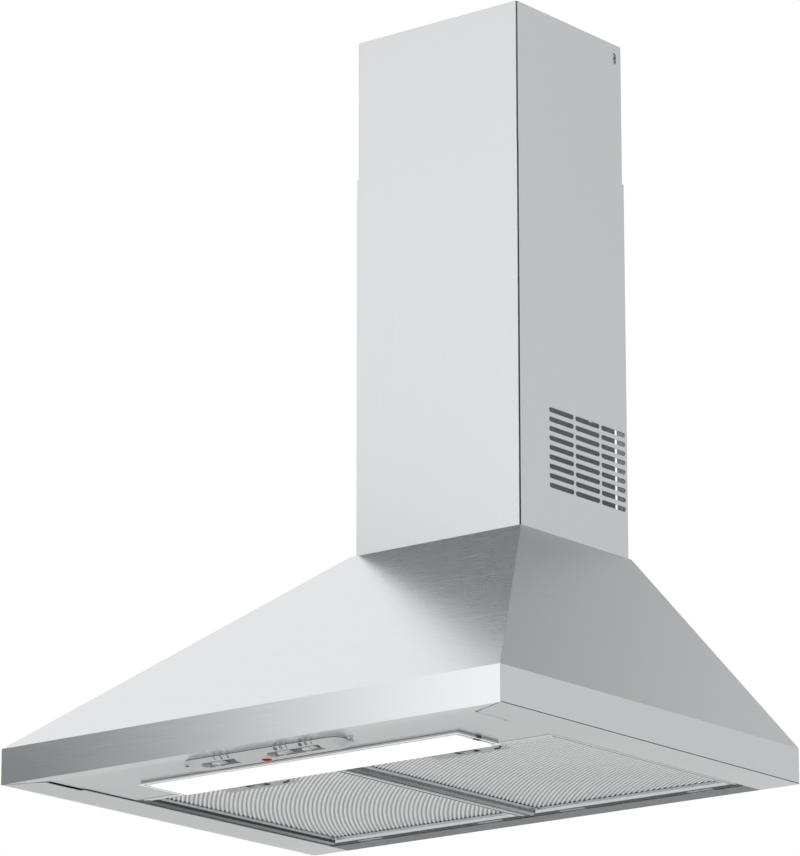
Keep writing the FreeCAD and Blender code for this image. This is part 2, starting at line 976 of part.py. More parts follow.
def upper_chimney_cover():
    body = new_body("upper_chimney_cover")
    bottom = size.upper_cover_top - size.upper_cover_length
    pad(body, "XY_Plane", [cover_outline(cover_inset)], size.upper_cover_length, lift=bottom)
    sketch = new_sketch(body, "YZ_Plane")
    draw_slot(
        sketch, fixing_y, fixing_z, size.fixing_slot_length, size.fixing_slot_width, upright=True
    )
    extrude(body, "Pocket", sketch, size.chimney_width, symmetric=True)


def chimney_wall_bracket():
    # A strip on the wall whose ears stand inside the upper cover's sides, behind the slots.
    body = new_body("chimney_wall_bracket")
    ear = size.chimney_width / 2 - cover_inset - size.sheet - size.seat_gap
    step_x = ear + size.seat_gap - size.cover_return - size.bracket_step
    step_y = -(cover_inset + size.sheet + size.seat_gap)
    gauge = size.bracket_sheet
    right = [
        (step_x, 0),
        (step_x + gauge, step_y),
        (ear, step_y),
        (ear, -size.bracket_ear),
        (ear - gauge, -size.bracket_ear),
        (ear - gauge, step_y - gauge),
        (step_x, step_y - gauge),
        (step_x - gauge, -gauge),
    ]
    left = [(-x, y) for x, y in reversed(right)]
    top = size.upper_cover_top - size.bracket_drop
    bottom = top - size.bracket_height
    pad(body, "XY_Plane", [right + left], size.bracket_height, lift=bottom)
    drill(body, "XZ_Plane", [
        (side * size.bracket_hole_spacing / 2, bottom + size.bracket_height / 2,
         size.bracket_hole_radius)
        for side in (1, -1)
    ], gauge + past)
    sketch = new_sketch(body, "YZ_Plane")
    draw_circle(sketch, fixing_y, fixing_z, size.fixing_hole_radius)
    extrude(body, "Pocket", sketch, size.chimney_width, symmetric=True)


def cover_bracket(label, side):
    # A small angle on the canopy's top that holds the foot of the lower cover.
    body = new_body(label)
    outer = size.chimney_width / 2 - size.sheet - size.seat_gap
    bottom = size.canopy_height
    pad(body, "XZ_Plane", [[
        (side * outer, bottom),
        (side * outer, bottom + size.cover_bracket_height),
        (side * (outer - size.sheet), bottom + size.cover_bracket_height),
        (side * (outer - size.sheet), bottom + size.sheet),
        (side * (outer - size.cover_bracket_foot), bottom + size.sheet),
        (side * (outer - size.cover_bracket_foot), bottom),
    ]], size.cover_bracket_width, lift=-duct_y - size.cover_bracket_width / 2)


# Air outlet with two gravity flaps on one pin

damper_z = deck_top + size.damper_height


def outlet_collar():
    body = new_body("outlet_collar")
    base = size.collar_base
    inner = size.collar_radius - size.collar_wall
    sketch = new_sketch(body, "XY_Plane", deck_top)
    draw_loop(sketch, rounded(-base, base, duct_y - base, duct_y + base, size.collar_corner))
    draw_circle(sketch, 0, duct_y, inner)
    extrude(body, "Pad", sketch, size.collar_wall)
    drill(body, "XY_Plane", [
        (x, y, screw_hole) for x, y in blower_screw_places()
    ], size.collar_wall, lift=deck_top)
    sketch = new_sketch(body, "XY_Plane", deck_top)
    draw_circle(sketch, 0, duct_y, size.collar_radius)
    draw_circle(sketch, 0, duct_y, inner)
    extrude(body, "Pad", sketch, size.collar_height)
    # ledge that the closed flaps lie on
    ledge = size.damper_ledge
    low = damper_z - size.damper_plate / 2 - size.seat_gap - ledge
    sketch = new_sketch(body, "XY_Plane", low)
    draw_circle(sketch, 0, duct_y, size.collar_radius - size.collar_wall / 2)
    draw_circle(sketch, 0, duct_y, inner - size.damper_ledge_reach)
    extrude(body, "Pad", sketch, ledge)
    sketch = new_sketch(body, "YZ_Plane")
    draw_circle(sketch, duct_y, damper_z, size.damper_pin_radius + size.pin_clearance)
    extrude(body, "Pocket", sketch, (size.collar_radius + past) * 2, symmetric=True)


def damper_pin():
    half = size.collar_radius - size.collar_wall / 2
    start = (-half, duct_y, damper_z)
    pin_rod = rod("damper_pin", "x", start, size.damper_pin_radius, half * 2)
    kept("damper_pin", pin_rod)


def damper_flap(label, side, knuckle_starts):
    # Half a disc with knuckles round the pin; side -1 lies to the front.
    body = new_body(label)
    radius = size.collar_radius - size.collar_wall - size.damper_gap
    near = size.knuckle_radius + size.damper_relief
    chord = Measure(
        math.sqrt(radius.value ** 2 - near.value ** 2),
        f"sqrt({radius.formula} * {radius.formula} - {near.formula} * {near.formula})",
    )
    low = damper_z - size.damper_plate / 2
    pad(body, "XY_Plane", [[
        (side * chord, duct_y + side * near),
        (0, duct_y + side * radius, radius),
        (-side * chord, duct_y + side * near, radius),
    ]], size.damper_plate, lift=low)
    for start in knuckle_starts:
        sketch = new_sketch(body, "YZ_Plane", start)
        draw_circle(sketch, duct_y, damper_z, size.knuckle_radius)
        extrude(body, "Pad", sketch, size.knuckle_length)
        pad(body, "XY_Plane", [rectangle(
            start, start + size.knuckle_length,
            *in_order(duct_y + side * (size.damper_pin_radius + size.damper_plate),
                      duct_y + side * (near + size.damper_web)),
        )], size.damper_plate, lift=low)
    sketch = new_sketch(body, "YZ_Plane")
    draw_circle(sketch, duct_y, damper_z, size.damper_pin_radius + size.pin_clearance)
    extrude(body, "Pocket", sketch, size.collar_radius * 2, symmetric=True)


def cable_gland():
    x = -size.gland_inset
    y = -size.gland_setback
    radius = size.gland_radius
    slim = radius - size.gland_step
    nut = size.gland_nut
    dome = size.gland_dome
    lock = size.gland_lock
    tail = deck_bottom - lock * 2
    top = deck_top + nut + dome
    parts = [
        rod("gland_nut", "z", (x, y, deck_top), radius, nut),
        rod("gland_dome", "z", (x, y, deck_top + nut), slim, dome),
        rod("gland_stem", "z", (x, y, tail), slim - size.seat_gap, deck_top + past - tail),
        rod("gland_lock_nut", "z", (x, y, deck_bottom - lock), radius, lock),
    ]
    bore = rod("gland_hole", "z", (x, y, tail - past), size.gland_bore, top - tail + 2 * past)
    kept("cable_gland", without("cable_gland", joined("gland_body", parts), [bore]))


# Blower


def scroll_outline(wall, top):
    # Three quarter turns of growing radius, then the straight throat up to the outlet.
    g = size.scroll_growth / 2
    first = size.scroll_start + wall
    second = first + size.scroll_growth
    third = second + size.scroll_growth
    outer = g + third
    inner = size.throat_inner - wall
    y = blower_y
    z = blower_z
    return [
        (y + outer, top),
        (y + outer, z + g),
        (y + g, z + g - third, -third),
        (y + g - second, z - g, -second),
        (y - g, z - g + first, -first),
        (y + inner, z - g + first),
        (y + inner, top),
    ]


def blower_scroll():
    # Snail housing: its left wall has the motor's inlet, its right side takes the cover.
    body = new_body("blower_scroll")
    half = size.blower_width / 2
    wall = size.blower_wall
    depth = size.blower_width - wall
    pad(body, "YZ_Plane", [scroll_outline(wall, blower_top)], depth, lift=-half)
    cut(body, "YZ_Plane", [scroll_outline(as_measure(0), blower_top + past)], depth,
        lift=wall - half)
    flange_x = throat_half_x + size.blower_flange + wall
    flange_y = throat_half_y + size.blower_flange
    pad(body, "XY_Plane", [
        rectangle(-flange_x, flange_x, duct_y - flange_y, duct_y + flange_y),
        rectangle(-throat_half_x, throat_half_x, duct_y - throat_half_y, duct_y + throat_half_y),
    ], wall, lift=blower_flange_bottom)
    drill(body, "XY_Plane", [
        (x, y, screw_hole) for x, y in blower_screw_places()
    ], wall + 2 * past, lift=blower_flange_bottom - past)
    inlet_ring(body, -half - size.inlet_rim_depth, size.inlet_rim_depth + wall)


def inlet_ring(body, start, depth):
    # A raised rim round the inlet, then the inlet itself.
    sketch = new_sketch(body, "YZ_Plane", start)
    draw_circle(sketch, blower_y, blower_z, size.inlet_radius + size.inlet_rim)
    draw_circle(sketch, blower_y, blower_z, size.inlet_radius)
    extrude(body, "Pad", sketch, depth)
    drill(body, "YZ_Plane", [(blower_y, blower_z, size.inlet_radius)], depth, lift=start)


def blower_cover():
    body = new_body("blower_cover")
    start = size.blower_width / 2 - size.blower_wall
    top = blower_flange_bottom - size.seat_gap
    pad(body, "YZ_Plane", [scroll_outline(size.blower_wall, top)], size.blower_wall, lift=start)
    inlet_ring(body, start, size.blower_wall + size.inlet_rim_depth)


def impeller():
    # Squirrel cage drawn round its own axis, with curved blades on both sides of the disc.
    body = new_body("impeller")
    half = size.impeller_width / 2
    ring = size.impeller_ring
    outer = size.impeller_radius
    inner = size.impeller_inner
    thick = size.blade_thickness
    chord = outer - inner
    lean = size.blade_lean
    edge = outer - size.blade_setback
    pad(body, "YZ_Plane", [[
        (inner, 0),
        (edge, lean, -chord),
        (edge, lean + thick),
        (inner, thick, chord),
    ]], size.impeller_width, lift=-half)
    blade = body.Tip
    cage = body.newObject("PartDesign::PolarPattern", "impeller_cage")
    cage.Originals = [blade]
    cage.Axis = (origin_item(body, "X_Axis"), [""])
    cage.Angle = 360
    cage.Occurrences = driving_sizes["impeller_blades"]
    body.Tip = cage
    for name, start, depth, bore in (
        ("left", -half, ring, outer - size.impeller_ring_width),
        ("right", half - ring, ring, outer - size.impeller_ring_width),
        ("disc", -ring / 2, ring, size.hub_radius),
    ):
        sketch = new_sketch(body, "YZ_Plane", start)
        draw_circle(sketch, 0, 0, outer)
        draw_circle(sketch, 0, 0, bore)
        extrude(body, "Pad", sketch, depth)
    sketch = new_sketch(body, "YZ_Plane", -size.hub_length / 2)
    draw_circle(sketch, 0, 0, size.hub_radius + size.hub_overlap)
    draw_circle(sketch, 0, 0, size.shaft_radius)
    extrude(body, "Pad", sketch, size.hub_length)
    move(body, 0, blower_y, blower_z)


shaft_start = -size.motor_nose - size.shaft_depth


def motor_shaft():
    end = size.hub_length / 2 + size.shaft_end
    shaft = rod("motor_shaft", "x", (shaft_start, blower_y, blower_z),
                size.shaft_radius - size.pin_clearance, end - shaft_start)
    kept("motor_shaft", shaft)


def motor_body():
    # Can with stepped end bells; the nose holds the bearing that the shaft runs in.
    left = -size.motor_outreach
    can_end = left + size.motor_length
    nose_end = -size.motor_nose
    radius = size.motor_radius
    seat = spider_x - size.seat_gap
    collar = radius + size.motor_collar
    bell = size.bell_depth
    step = size.bell_step
    shoulder = radius * 0.8
    body = turned("motor_body", [
        (left, 0),
        (left, radius / 2),
        (left + bell - step, shoulder),
        (left + bell, radius),
        (seat - step, radius),
        (seat - step, collar),
        (seat, collar),
        (seat, radius),
        (can_end, radius),
        (can_end + step, shoulder),
        (can_end + bell, radius / 3),
        (nose_end, size.shaft_radius * 2),
        (nose_end, size.shaft_radius),
        (shaft_start - past, size.shaft_radius),
        (shaft_start - past, 0),
    ])
    move(body, 0, blower_y, blower_z)


spider_x = -(size.blower_width / 2 + size.spider_standoff + size.spider_sheet)
mount_angles = (90, 210, 330)


def motor_bracket():
    # Three-armed spider drawn round the motor's axis.
    body = new_body("motor_bracket")
    inner = size.motor_radius + size.seat_gap
    ring = size.spider_ring
    sketch = new_sketch(body, "YZ_Plane", spider_x)
    draw_circle(sketch, 0, 0, inner + ring)
    draw_circle(sketch, 0, 0, inner)
    extrude(body, "Pad", sketch, size.spider_sheet)
    half = size.arm_width / 2
    pad(body, "YZ_Plane", [[
        (-half, inner + ring / 2),
        (half, inner + ring / 2),
        (half, size.mount_circle),
        (-half, size.mount_circle, half * 1.1),
    ]], size.spider_sheet, lift=spider_x)
    arm = body.Tip
    drill(body, "YZ_Plane", [(0, size.mount_circle, screw_hole)],
          size.spider_sheet + 2 * past, lift=spider_x - past)
    hole = body.Tip
    arms = body.newObject("PartDesign::PolarPattern", "motor_bracket_arms")
    arms.Originals = [arm, hole]
    arms.Axis = (origin_item(body, "X_Axis"), [""])
    arms.Angle = 360
    arms.Occurrences = len(mount_angles)
    body.Tip = arms
    move(body, 0, blower_y, blower_z)


def mount_places():
    places = []
    for angle in mount_angles:
        turn = math.radians(angle)
        places.append((
            blower_y + size.mount_circle * round(math.cos(turn), 6),
            blower_z + size.mount_circle * round(math.sin(turn), 6),
        ))
    return places


def motor_mounts():
    # Waisted rubber bushes between the spider and the scroll's left wall.
    start = spider_x + size.spider_sheet + size.mount_gap
    length = size.spider_standoff - 2 * size.mount_gap
    flange = size.mount_flange
    radius = size.mount_radius
    bushes = []
    for index, (y, z) in enumerate(mount_places()):
        ends = [
            rod(f"mount_{index}_a", "x", (start, y, z), radius, flange),
            rod(f"mount_{index}_b", "x", (start + length - flange, y, z), radius, flange),
            rod(f"mount_{index}_waist", "x", (start, y, z), size.mount_waist, length),
        ]
        bore = rod(f"mount_{index}_bore", "x", (start - past, y, z), screw_hole,
                   length + 2 * past)
        bushes.append(without(f"mount_{index}", joined(f"mount_{index}_body", ends), [bore]))
    group("motor_mounts", bushes)


def motor_screws():
    screws = []
    for index, (y, z) in enumerate(mount_places()):
        head = rod(f"motor_screw_{index}_head", "x", (spider_x - size.screw_head, y, z),
                   size.screw_head_radius, size.screw_head)
        shank = rod(f"motor_screw_{index}_shank", "x", (spider_x, y, z), size.screw_radius,
                    size.spider_standoff + size.spider_sheet - size.motor_screw_gap)
        screws.append(joined(f"motor_screw_{index}", [head, shank]))
    group("motor_screws", screws)


capacitor_x = size.blower_width / 2 + size.capacitor_radius + size.capacitor_standoff
capacitor_y = duct_y + size.capacitor_aside
capacitor_low = blower_flange_bottom - size.capacitor_length - size.capacitor_drop


def capacitor():
    case = rod("capacitor_case", "z", (capacitor_x, capacitor_y, capacitor_low),
               size.capacitor_radius, size.capacitor_length)
    crown = rod("capacitor_crown", "z",
                (capacitor_x, capacitor_y, capacitor_low - size.capacitor_crown),
                size.capacitor_radius / 2, size.capacitor_crown)
    kept("capacitor", joined("capacitor", [case, crown]))


def capacitor_clip():
    band = size.capacitor_radius + size.seat_gap
    start = capacitor_low + size.capacitor_length / 2
    height = size.clip_band_height
    ring = rod("clip_ring", "z", (capacitor_x, capacitor_y, start), band + size.clip_band_sheet,
               height)
    wall = size.blower_width / 2
    foot = block("clip_foot", (wall, wall + size.clip_band_sheet),
                 (capacitor_y - size.clip_foot_reach, capacitor_y + size.clip_foot_reach),
                 (start, start + height))
    bore = rod("clip_bore", "z", (capacitor_x, capacitor_y, start - past), band,
               height + 2 * past)
    kept("capacitor_clip", without("capacitor_clip", joined("clip_body", [ring, foot]), [bore]))


box_y = duct_y + size.wiring_box_aside
box_high = blower_flange_bottom - size.wiring_box_drop
box_low = box_high - size.wiring_box_height
box_x = -size.blower_width / 2 - size.seat_gap


def box_outline(inset):
    half = size.wiring_box_width / 2 - inset
    corner = size.wiring_box_corner - inset
    return rounded(box_y - half, box_y + half, box_low + inset, box_high - inset, corner)


def wiring_box():
    # An open tray on the scroll's left wall, closed by the lid.
    body = new_body("wiring_box")
    wall = size.wiring_box_wall
    depth = size.wiring_box_depth
    pad(body, "YZ_Plane", [box_outline(0)], depth, lift=box_x - depth)
    cut(body, "YZ_Plane", [box_outline(wall)], depth - wall, lift=box_x - depth)


def wiring_box_lid():
    body = new_body("wiring_box_lid")
    wall = size.wiring_box_wall
    start = box_x - size.wiring_box_depth
    pad(body, "YZ_Plane", [box_outline(0)], wall, lift=start - wall)
    pad(body, "YZ_Plane", [box_outline(wall + size.seat_gap)], size.lid_plug, lift=start)


def terminal_block():
    body = new_body("terminal_block")
    ways = driving_sizes["terminal_ways"]
    length = size.terminal_pitch * ways
    seat = box_x - size.wiring_box_wall
    depth = size.terminal_depth
    height = size.terminal_height
    middle = box_high - size.wiring_box_height / 2
    start_y = box_y - length / 2
    pad(body, "YZ_Plane", [rectangle(
        start_y, start_y + length, middle - height / 2, middle + height / 2,
    )], depth, lift=seat - depth)
    circles = []
    for way in range(ways):
        y = start_y + size.terminal_pitch * (way + 0.5)
        for row in (-height / 4, height / 4):
            circles.append((y, middle + row, size.terminal_screw_radius))
    drill(body, "YZ_Plane", circles, depth / 2, lift=seat - depth)


# Grease filters: each tips down about the front edge of the rear flange

hinge_y = -size.rear_flange
hinge_z = size.sheet


def filter_span(side):
    return in_order(side * size.filter_middle, side * (flange_x - size.filter_gap))


filter_front = panel_end + size.filter_gap
filter_rear = -size.rear_flange - size.filter_gap
latch_x = (flange_x - size.filter_gap + size.filter_middle) / 2
tongue_bottom = size.panel_rise + size.panel_lip + size.seat_gap
tongue_room = size.tongue_thickness + 2 * size.seat_gap
pocket_start = panel_end + size.latch_pocket_reach
latch_plate_end = panel_end + size.latch_plate_reach


def prong_outline(middle, sign, front, rear, play):
    # One of the latch's two prongs, beside the finger's place in the pocket.
    outer = size.latch_pocket_width / 2 - size.seat_gap
    inner = outer - size.tongue_width
    across = in_order(middle + sign * (outer + play), middle + sign * (inner - play))
    return rectangle(*across, front, rear)


def inside_filter(side, inset, radius):
    # A rounded outline that keeps an even distance from the filter's outer edge.
    left, right = filter_span(side)
    return rounded(left + inset, right - inset, filter_front + inset, filter_rear - inset,
                   radius)


def filter_frame(label, side):
    # A pressed rim with an open middle and two rear tabs that rest on the rear flange.
    body = new_body(label)
    rim = size.filter_frame
    corner = size.filter_corner
    pad(body, "XY_Plane", [
        inside_filter(side, 0, corner + size.filter_wall),
        inside_filter(side, rim, corner),
    ], size.filter_thickness, lift=size.filter_bottom)
    # the rim is a channel, open upwards, with a step that the mesh lies on
    wall = size.filter_wall
    floor = size.mesh_bottom
    cut(body, "XY_Plane", [
        inside_filter(side, wall, corner),
        inside_filter(side, rim - wall, corner),
    ], size.filter_thickness, lift=floor + size.mesh_thickness)
    cut(body, "XY_Plane", [inside_filter(side, rim - size.mesh_seat, corner)],
        size.filter_thickness, lift=floor)
    reach = -size.rear_flange + size.tab_reach
    low = size.sheet + size.seat_gap
    high = size.filter_bottom + size.tab_rise
    tab = size.tab_thickness
    middle = side * latch_x
    for sign in (1, -1):
        x = middle + sign * size.tab_spread
        pad(body, "YZ_Plane", [[
            (reach, low),
            (reach, low + tab),
            (filter_rear + wall, low + tab),
            (filter_rear + wall, high),
            (filter_rear - wall, high),
            (filter_rear - wall, size.filter_bottom),
            (filter_rear, low),
        ]], size.tab_width, lift=x - size.tab_width / 2)
    # windows for the latch's prongs in the front rim
    cut(body, "XY_Plane", [
        prong_outline(middle, sign, filter_front - past, filter_front + rim + past,
                      size.prong_play)
        for sign in (1, -1)
    ], tongue_room, lift=tongue_bottom - size.seat_gap)


def filter_mesh(label, side):
    body = new_body(label)
    pad(body, "XY_Plane", [inside_filter(side, mesh_inset, size.filter_corner)],
        size.mesh_thickness, lift=size.mesh_bottom)
    half = size.latch_plate_width / 2 + size.seat_gap
    middle = side * latch_x
    cut(body, "XY_Plane", [rectangle(
        middle - half, middle + half, filter_front, latch_plate_end + size.seat_gap,
    )], size.mesh_thickness + 2 * past, lift=size.mesh_bottom - past)


def latch_plate(label, side):
    # The plain plate round the pull, with a pressed pocket that the fingers reach into.
    body = new_body(label)
    middle = side * latch_x
    half = size.latch_plate_width / 2
    front = filter_front + mesh_inset
    rear = latch_plate_end
    wall = size.filter_wall
    low = size.mesh_bottom
    pad(body, "XY_Plane", [rectangle(
        middle - half, middle + half, front, rear,
    )], size.mesh_thickness, lift=low)
    cut(body, "XY_Plane", [rectangle(
        middle - half + wall, middle + half - wall, front + wall, rear - wall,
    )], size.mesh_thickness, lift=low + size.sheet)
    pocket_half = size.latch_pocket_width / 2
    start = pocket_start
    end = start + size.latch_pocket_length
    roof = pocket_roof
    pad(body, "XY_Plane", [rectangle(
        middle - pocket_half - wall, middle + pocket_half + wall, start - wall, end + wall,
    )], roof + wall - low, lift=low)
    cut(body, "XY_Plane", [rectangle(
        middle - pocket_half, middle + pocket_half, start, end,
    )], roof - low + past, lift=low - past)
    cut(body, "XY_Plane", [
        prong_outline(middle, sign, front - past, start + past, size.prong_play)
        for sign in (1, -1)
    ], tongue_room, lift=tongue_bottom - size.seat_gap)


mesh_inset = size.filter_frame - size.mesh_seat + size.seat_gap
pocket_roof = size.filter_bottom + size.filter_thickness - size.filter_wall


def filter_latch(label, side):
    # A sprung pull: a finger block in the pocket and two prongs over the panel's lip.
    body = new_body(label)
    middle = side * latch_x
    block_front = pocket_start + size.latch_tab
    width = size.latch_pocket_width / 2 - size.seat_gap
    depth = size.latch_pocket_length - size.latch_tab - size.latch_travel - size.seat_gap
    low = size.mesh_bottom + size.seat_gap
    high = pocket_roof - size.seat_gap
    pad(body, "YZ_Plane", [[
        (block_front + size.latch_rake, low),
        (block_front + depth, low),
        (block_front + depth, high),
        (block_front, high),
        (block_front, high - size.latch_edge),
    ]], width * 2, lift=middle - width)
    pad(body, "XY_Plane", [
        prong_outline(middle, sign, panel_end - size.tongue_overlap,
                      block_front + size.latch_rake, 0)
        for sign in (1, -1)
    ], size.tongue_thickness, lift=tongue_bottom)


# Controls


def pod_outline(front, rear, half, corner, bow):
    x = size.control_offset
    left = x - half
    right = x + half
    return [
        (right - corner, front),
        (right, front + corner, corner),
        (right, rear - bow),
        (right - bow, rear, bow),
        (left + bow, rear),
        (left, rear - bow, bow),
        (left, front + corner),
        (left + corner, front, corner),
    ]


pod_top = size.panel_rise - size.seat_gap
pod_bottom = pod_top - size.pod_depth
controls = (
    ("speed", size.speed_rest, size.speed_travel),
    ("fan", size.fan_rest, size.toggle_travel),
    ("lamp", size.lamp_rest, size.toggle_travel),
)
slot_front = pod_front + size.slot_margin
slot_rear = slot_front + size.slot_width
stem_y = slot_rear - size.stem_margin


def stem_slot(rest_x, travel):
    # The room that a knob's stem sweeps over its travel, with play all round.
    along = size.stem_length / 2 + size.stem_play
    across = size.stem_width / 2 + size.stem_play
    return rectangle(rest_x - along, rest_x + along + travel, stem_y - across, stem_y + across)


def control_pod():
    # A boat-shaped moulding under the front panel: steep face to the user, bowed rear.
    body = new_body("control_pod")
    low = new_sketch(body, "XY_Plane", pod_bottom)
    draw_loop(low, pod_outline(
        pod_front + size.pod_front_slope,
        pod_rear - size.pod_rear_slope,
        size.pod_half_length - size.pod_end_slope,
        size.pod_low_corner,
        size.pod_low_bow,
    ))
    high = new_sketch(body, "XY_Plane", pod_top)
    draw_loop(high, pod_outline(
        pod_front, pod_rear, size.pod_half_length, size.pod_corner, size.pod_bow,
    ))
    hull = body.newObject("PartDesign::AdditiveLoft", "control_pod_hull")
    hull.Profile = high
    hull.Sections = [low]
    hull.Ruled = True
    x = size.control_offset
    for _, rest, travel in controls:
        left = x + rest - size.knob_length / 2 - size.finger_dish
        right = x + rest + size.knob_length / 2 + travel + size.stem_play
        cut(body, "XY_Plane", [rounded(
            left, right, slot_front, slot_rear, size.slot_corner,
        )], size.slot_floor - pod_bottom + past, lift=pod_bottom - past)
        cut(body, "XY_Plane", [stem_slot(x + rest, travel)], size.pod_depth + 2 * past,
            lift=pod_bottom - past)
    drill(body, "XY_Plane", [
        (x + size.pilot_x, pilot_y, size.pilot_stem + size.pin_clearance),
    ], size.pod_depth + 2 * past, lift=pod_bottom - past)


def slider_knob(name, rest):
    # A paddle under the pod's slot with a raised grip at its left end, and a stem above.
    body = new_body(f"{name}_slider")
    x = size.control_offset + rest
    half = size.knob_length / 2
    rear = slot_front + size.knob_width + (size.slot_width - size.knob_width) / 2
    top = size.slot_floor - size.seat_gap
    low = top - size.knob_height
    edge = size.knob_edge
    grip = size.knob_grip
    pad(body, "XZ_Plane", [[
        (x - half, top),
        (x - half, low + edge),
        (x - half + edge, low, edge),
        (x - half + grip - edge, low),
        (x - half + grip, low + edge, edge * 2),
        (x + half - edge, top - edge),
        (x + half, top - edge / 3, edge),
        (x + half, top),
    ]], size.knob_width, lift=-rear)
    stem = size.stem_width / 2
    length = size.stem_length / 2
    pad(body, "XY_Plane", [rectangle(
        x - length, x + length, stem_y - stem, stem_y + stem,
    )], carrier_top + size.stem_rise - top + size.bite, lift=top - size.bite)


carrier_top = panel_top + size.carrier_sheet


def switch_carrier():
    body = new_body("switch_carrier")
    x = size.control_offset
    middle = pod_screw_y + size.carrier_aside
    half = size.carrier_width / 2
    pad(body, "XY_Plane", [rounded(
        x - size.carrier_half_length, x + size.carrier_half_length, middle - half, middle + half,
        size.carrier_corner,
    )], size.carrier_sheet, lift=panel_top)
    through = size.carrier_sheet + 2 * past
    for _, rest, travel in controls:
        cut(body, "XY_Plane", [stem_slot(x + rest, travel)], through, lift=panel_top - past)
    holes = [
        (x + sign * size.control_screw_reach, pod_screw_y, size.screw_radius + size.pin_clearance)
        for sign in (1, -1)
    ]
    holes.append((x + size.pilot_x, pilot_y, size.pilot_stem + size.seat_gap))
    drill(body, "XY_Plane", holes, through, lift=panel_top - past)


def slide_switch(name, rest, travel):
    # The switch stands on the carrier and is open below for the stem.
    body = new_body(f"{name}_switch")
    x = size.control_offset + rest + travel / 2
    half = (size.switch_length + travel - size.toggle_travel) / 2
    width = size.switch_width / 2
    pad(body, "XY_Plane", [rectangle(
        x - half, x + half, stem_y - width, stem_y + width,
    )], size.switch_height, lift=carrier_top)
    cut(body, "XY_Plane", [stem_slot(x - travel / 2, travel)],
        size.stem_rise + size.stem_play + past, lift=carrier_top - past)
    thin = size.blade_thin / 2
    wide = size.blade_wide / 2
    for sign in (1, 0, -1):
        blade_x = x + sign * (half - size.blade_margin)
        pad(body, "XY_Plane", [rectangle(
            blade_x - thin, blade_x + thin, stem_y - wide, stem_y + wide,
        )], size.blade_length + size.bite, lift=carrier_top + size.switch_height - size.bite)


def pilot_lens():
    # A domed lens whose stem passes up through the pod.
    radius = size.pilot_radius
    dome = size.pilot_dome
    stem = size.pilot_stem
    seat = -size.pin_clearance
    top = size.pod_depth + size.panel_rise
    body = turned("pilot_lens", [
        (0, -dome),
        (radius * 0.7, -dome * 0.65, radius * 2.2),
        (radius, seat, radius / 2),
        (stem, seat),
        (stem, top),
        (0, top),
    ], "XZ_Plane", "V_Axis")
    move(body, size.control_offset + size.pilot_x, pilot_y, pod_bottom)


def control_screws():
    group("control_screws", [
        screw(f"control_screw_{index}", size.control_offset + sign * size.control_screw_reach,
              pod_screw_y, size.panel_rise, size.control_screw_length, False)
        for index, sign in enumerate((1, -1))
    ])


# Lamp

lens_top = size.panel_rise - size.seat_gap
tray_half = lamp_half + size.tray_margin


def in_aperture(inset, radius):
    return rounded(-lamp_half + inset, lamp_half - inset, aperture_front + inset,
                   aperture_rear - inset, radius)


def lamp_cover():
    # The diffuser: a thin flange, a raised lens and a rib that enters the panel's aperture.
    body = new_body("lamp_cover")
    half = size.lens_half_length
    low = lens_top - size.lens_flange
    face = low - size.lens_drop
    rim = size.lens_rim
    corner = size.aperture_corner
    pad(body, "XY_Plane", [rounded(
        -half, half, lens_front, lens_rear, size.lens_corner,
    )], size.lens_flange, lift=low)
    pad(body, "XY_Plane", [rounded(
        -half + rim, half - rim, aperture_front, aperture_rear + size.lens_spread, corner,
    )], size.lens_drop, lift=face)
    cut(body, "XY_Plane", [in_aperture(size.lens_hollow_inset, size.lens_corner)],
        size.lens_flange + size.lens_drop, lift=face + size.lens_skin)
    play = size.rib_play
    rib = size.rib_wall
    pad(body, "XY_Plane", [
        in_aperture(play, corner - size.seat_gap),
        in_aperture(play + rib, corner - rib),
    ], size.lens_rib, lift=lens_top - size.bite)
    clip = size.clip_width / 2 + size.seat_gap
    cut(body, "XY_Plane", [rectangle(
        half - size.clip_notch, half + past, lens_y - clip, lens_y + clip,
    )], size.lens_flange + 2 * past, lift=low - past)
    # two hooks at the left end reach through the panel's slots and lie on top of it
    stem = size.hook_inset - half
    thick = size.hook_thickness
    root = lens_top - size.hook_root
    arm = panel_top + size.seat_gap
    for y in hook_rows():
        pad(body, "XZ_Plane", [[
            (stem, root),
            (stem + thick, root),
            (stem + thick, arm + size.hook_arm),
            (stem - size.hook_reach, arm + size.hook_arm),
            (stem - size.hook_reach, arm),
            (stem, arm),
        ]], size.hook_width, lift=-y - size.hook_width / 2)


def lamp_clip():
    # Sprung tongue through the panel, beside the end of the lamp cover.
    half = size.lens_half_length
    width = size.clip_width / 2
    span = (lens_y - width, lens_y + width)
    thick = size.clip_sheet
    gap = size.seat_gap
    inner = half - size.clip_notch
    outer = half - 2 * gap
    under = lens_top - size.lens_flange - gap
    foot = block("lamp_clip_foot", (inner - size.clip_foot_inner, half + size.clip_foot_outer),
                 span, (panel_top, panel_top + thick))
    tongue = block("lamp_clip_tongue", (inner + gap, outer), span, (under - gap, panel_top + gap))
    hook = block("lamp_clip_hook", (inner - size.clip_catch, outer), span, (under - thick, under))
    kept("lamp_clip", joined("lamp_clip", [foot, tongue, hook]))


def lamp_housing():
    # Frame of four walls round the aperture, with a lip on the panel.
    body = new_body("lamp_housing")
    wall = size.sheet
    lip = size.lamp_box_lip
    out = -size.tray_margin
    corner = size.tray_corner
    pad(body, "XY_Plane", [
        in_aperture(out - wall, corner + wall),
        in_aperture(out, corner),
    ], size.lamp_box_height - wall, lift=panel_top)
    pad(body, "XY_Plane", [
        in_aperture(out - lip, corner + lip / 2),
        in_aperture(out, corner),
    ], wall, lift=panel_top)


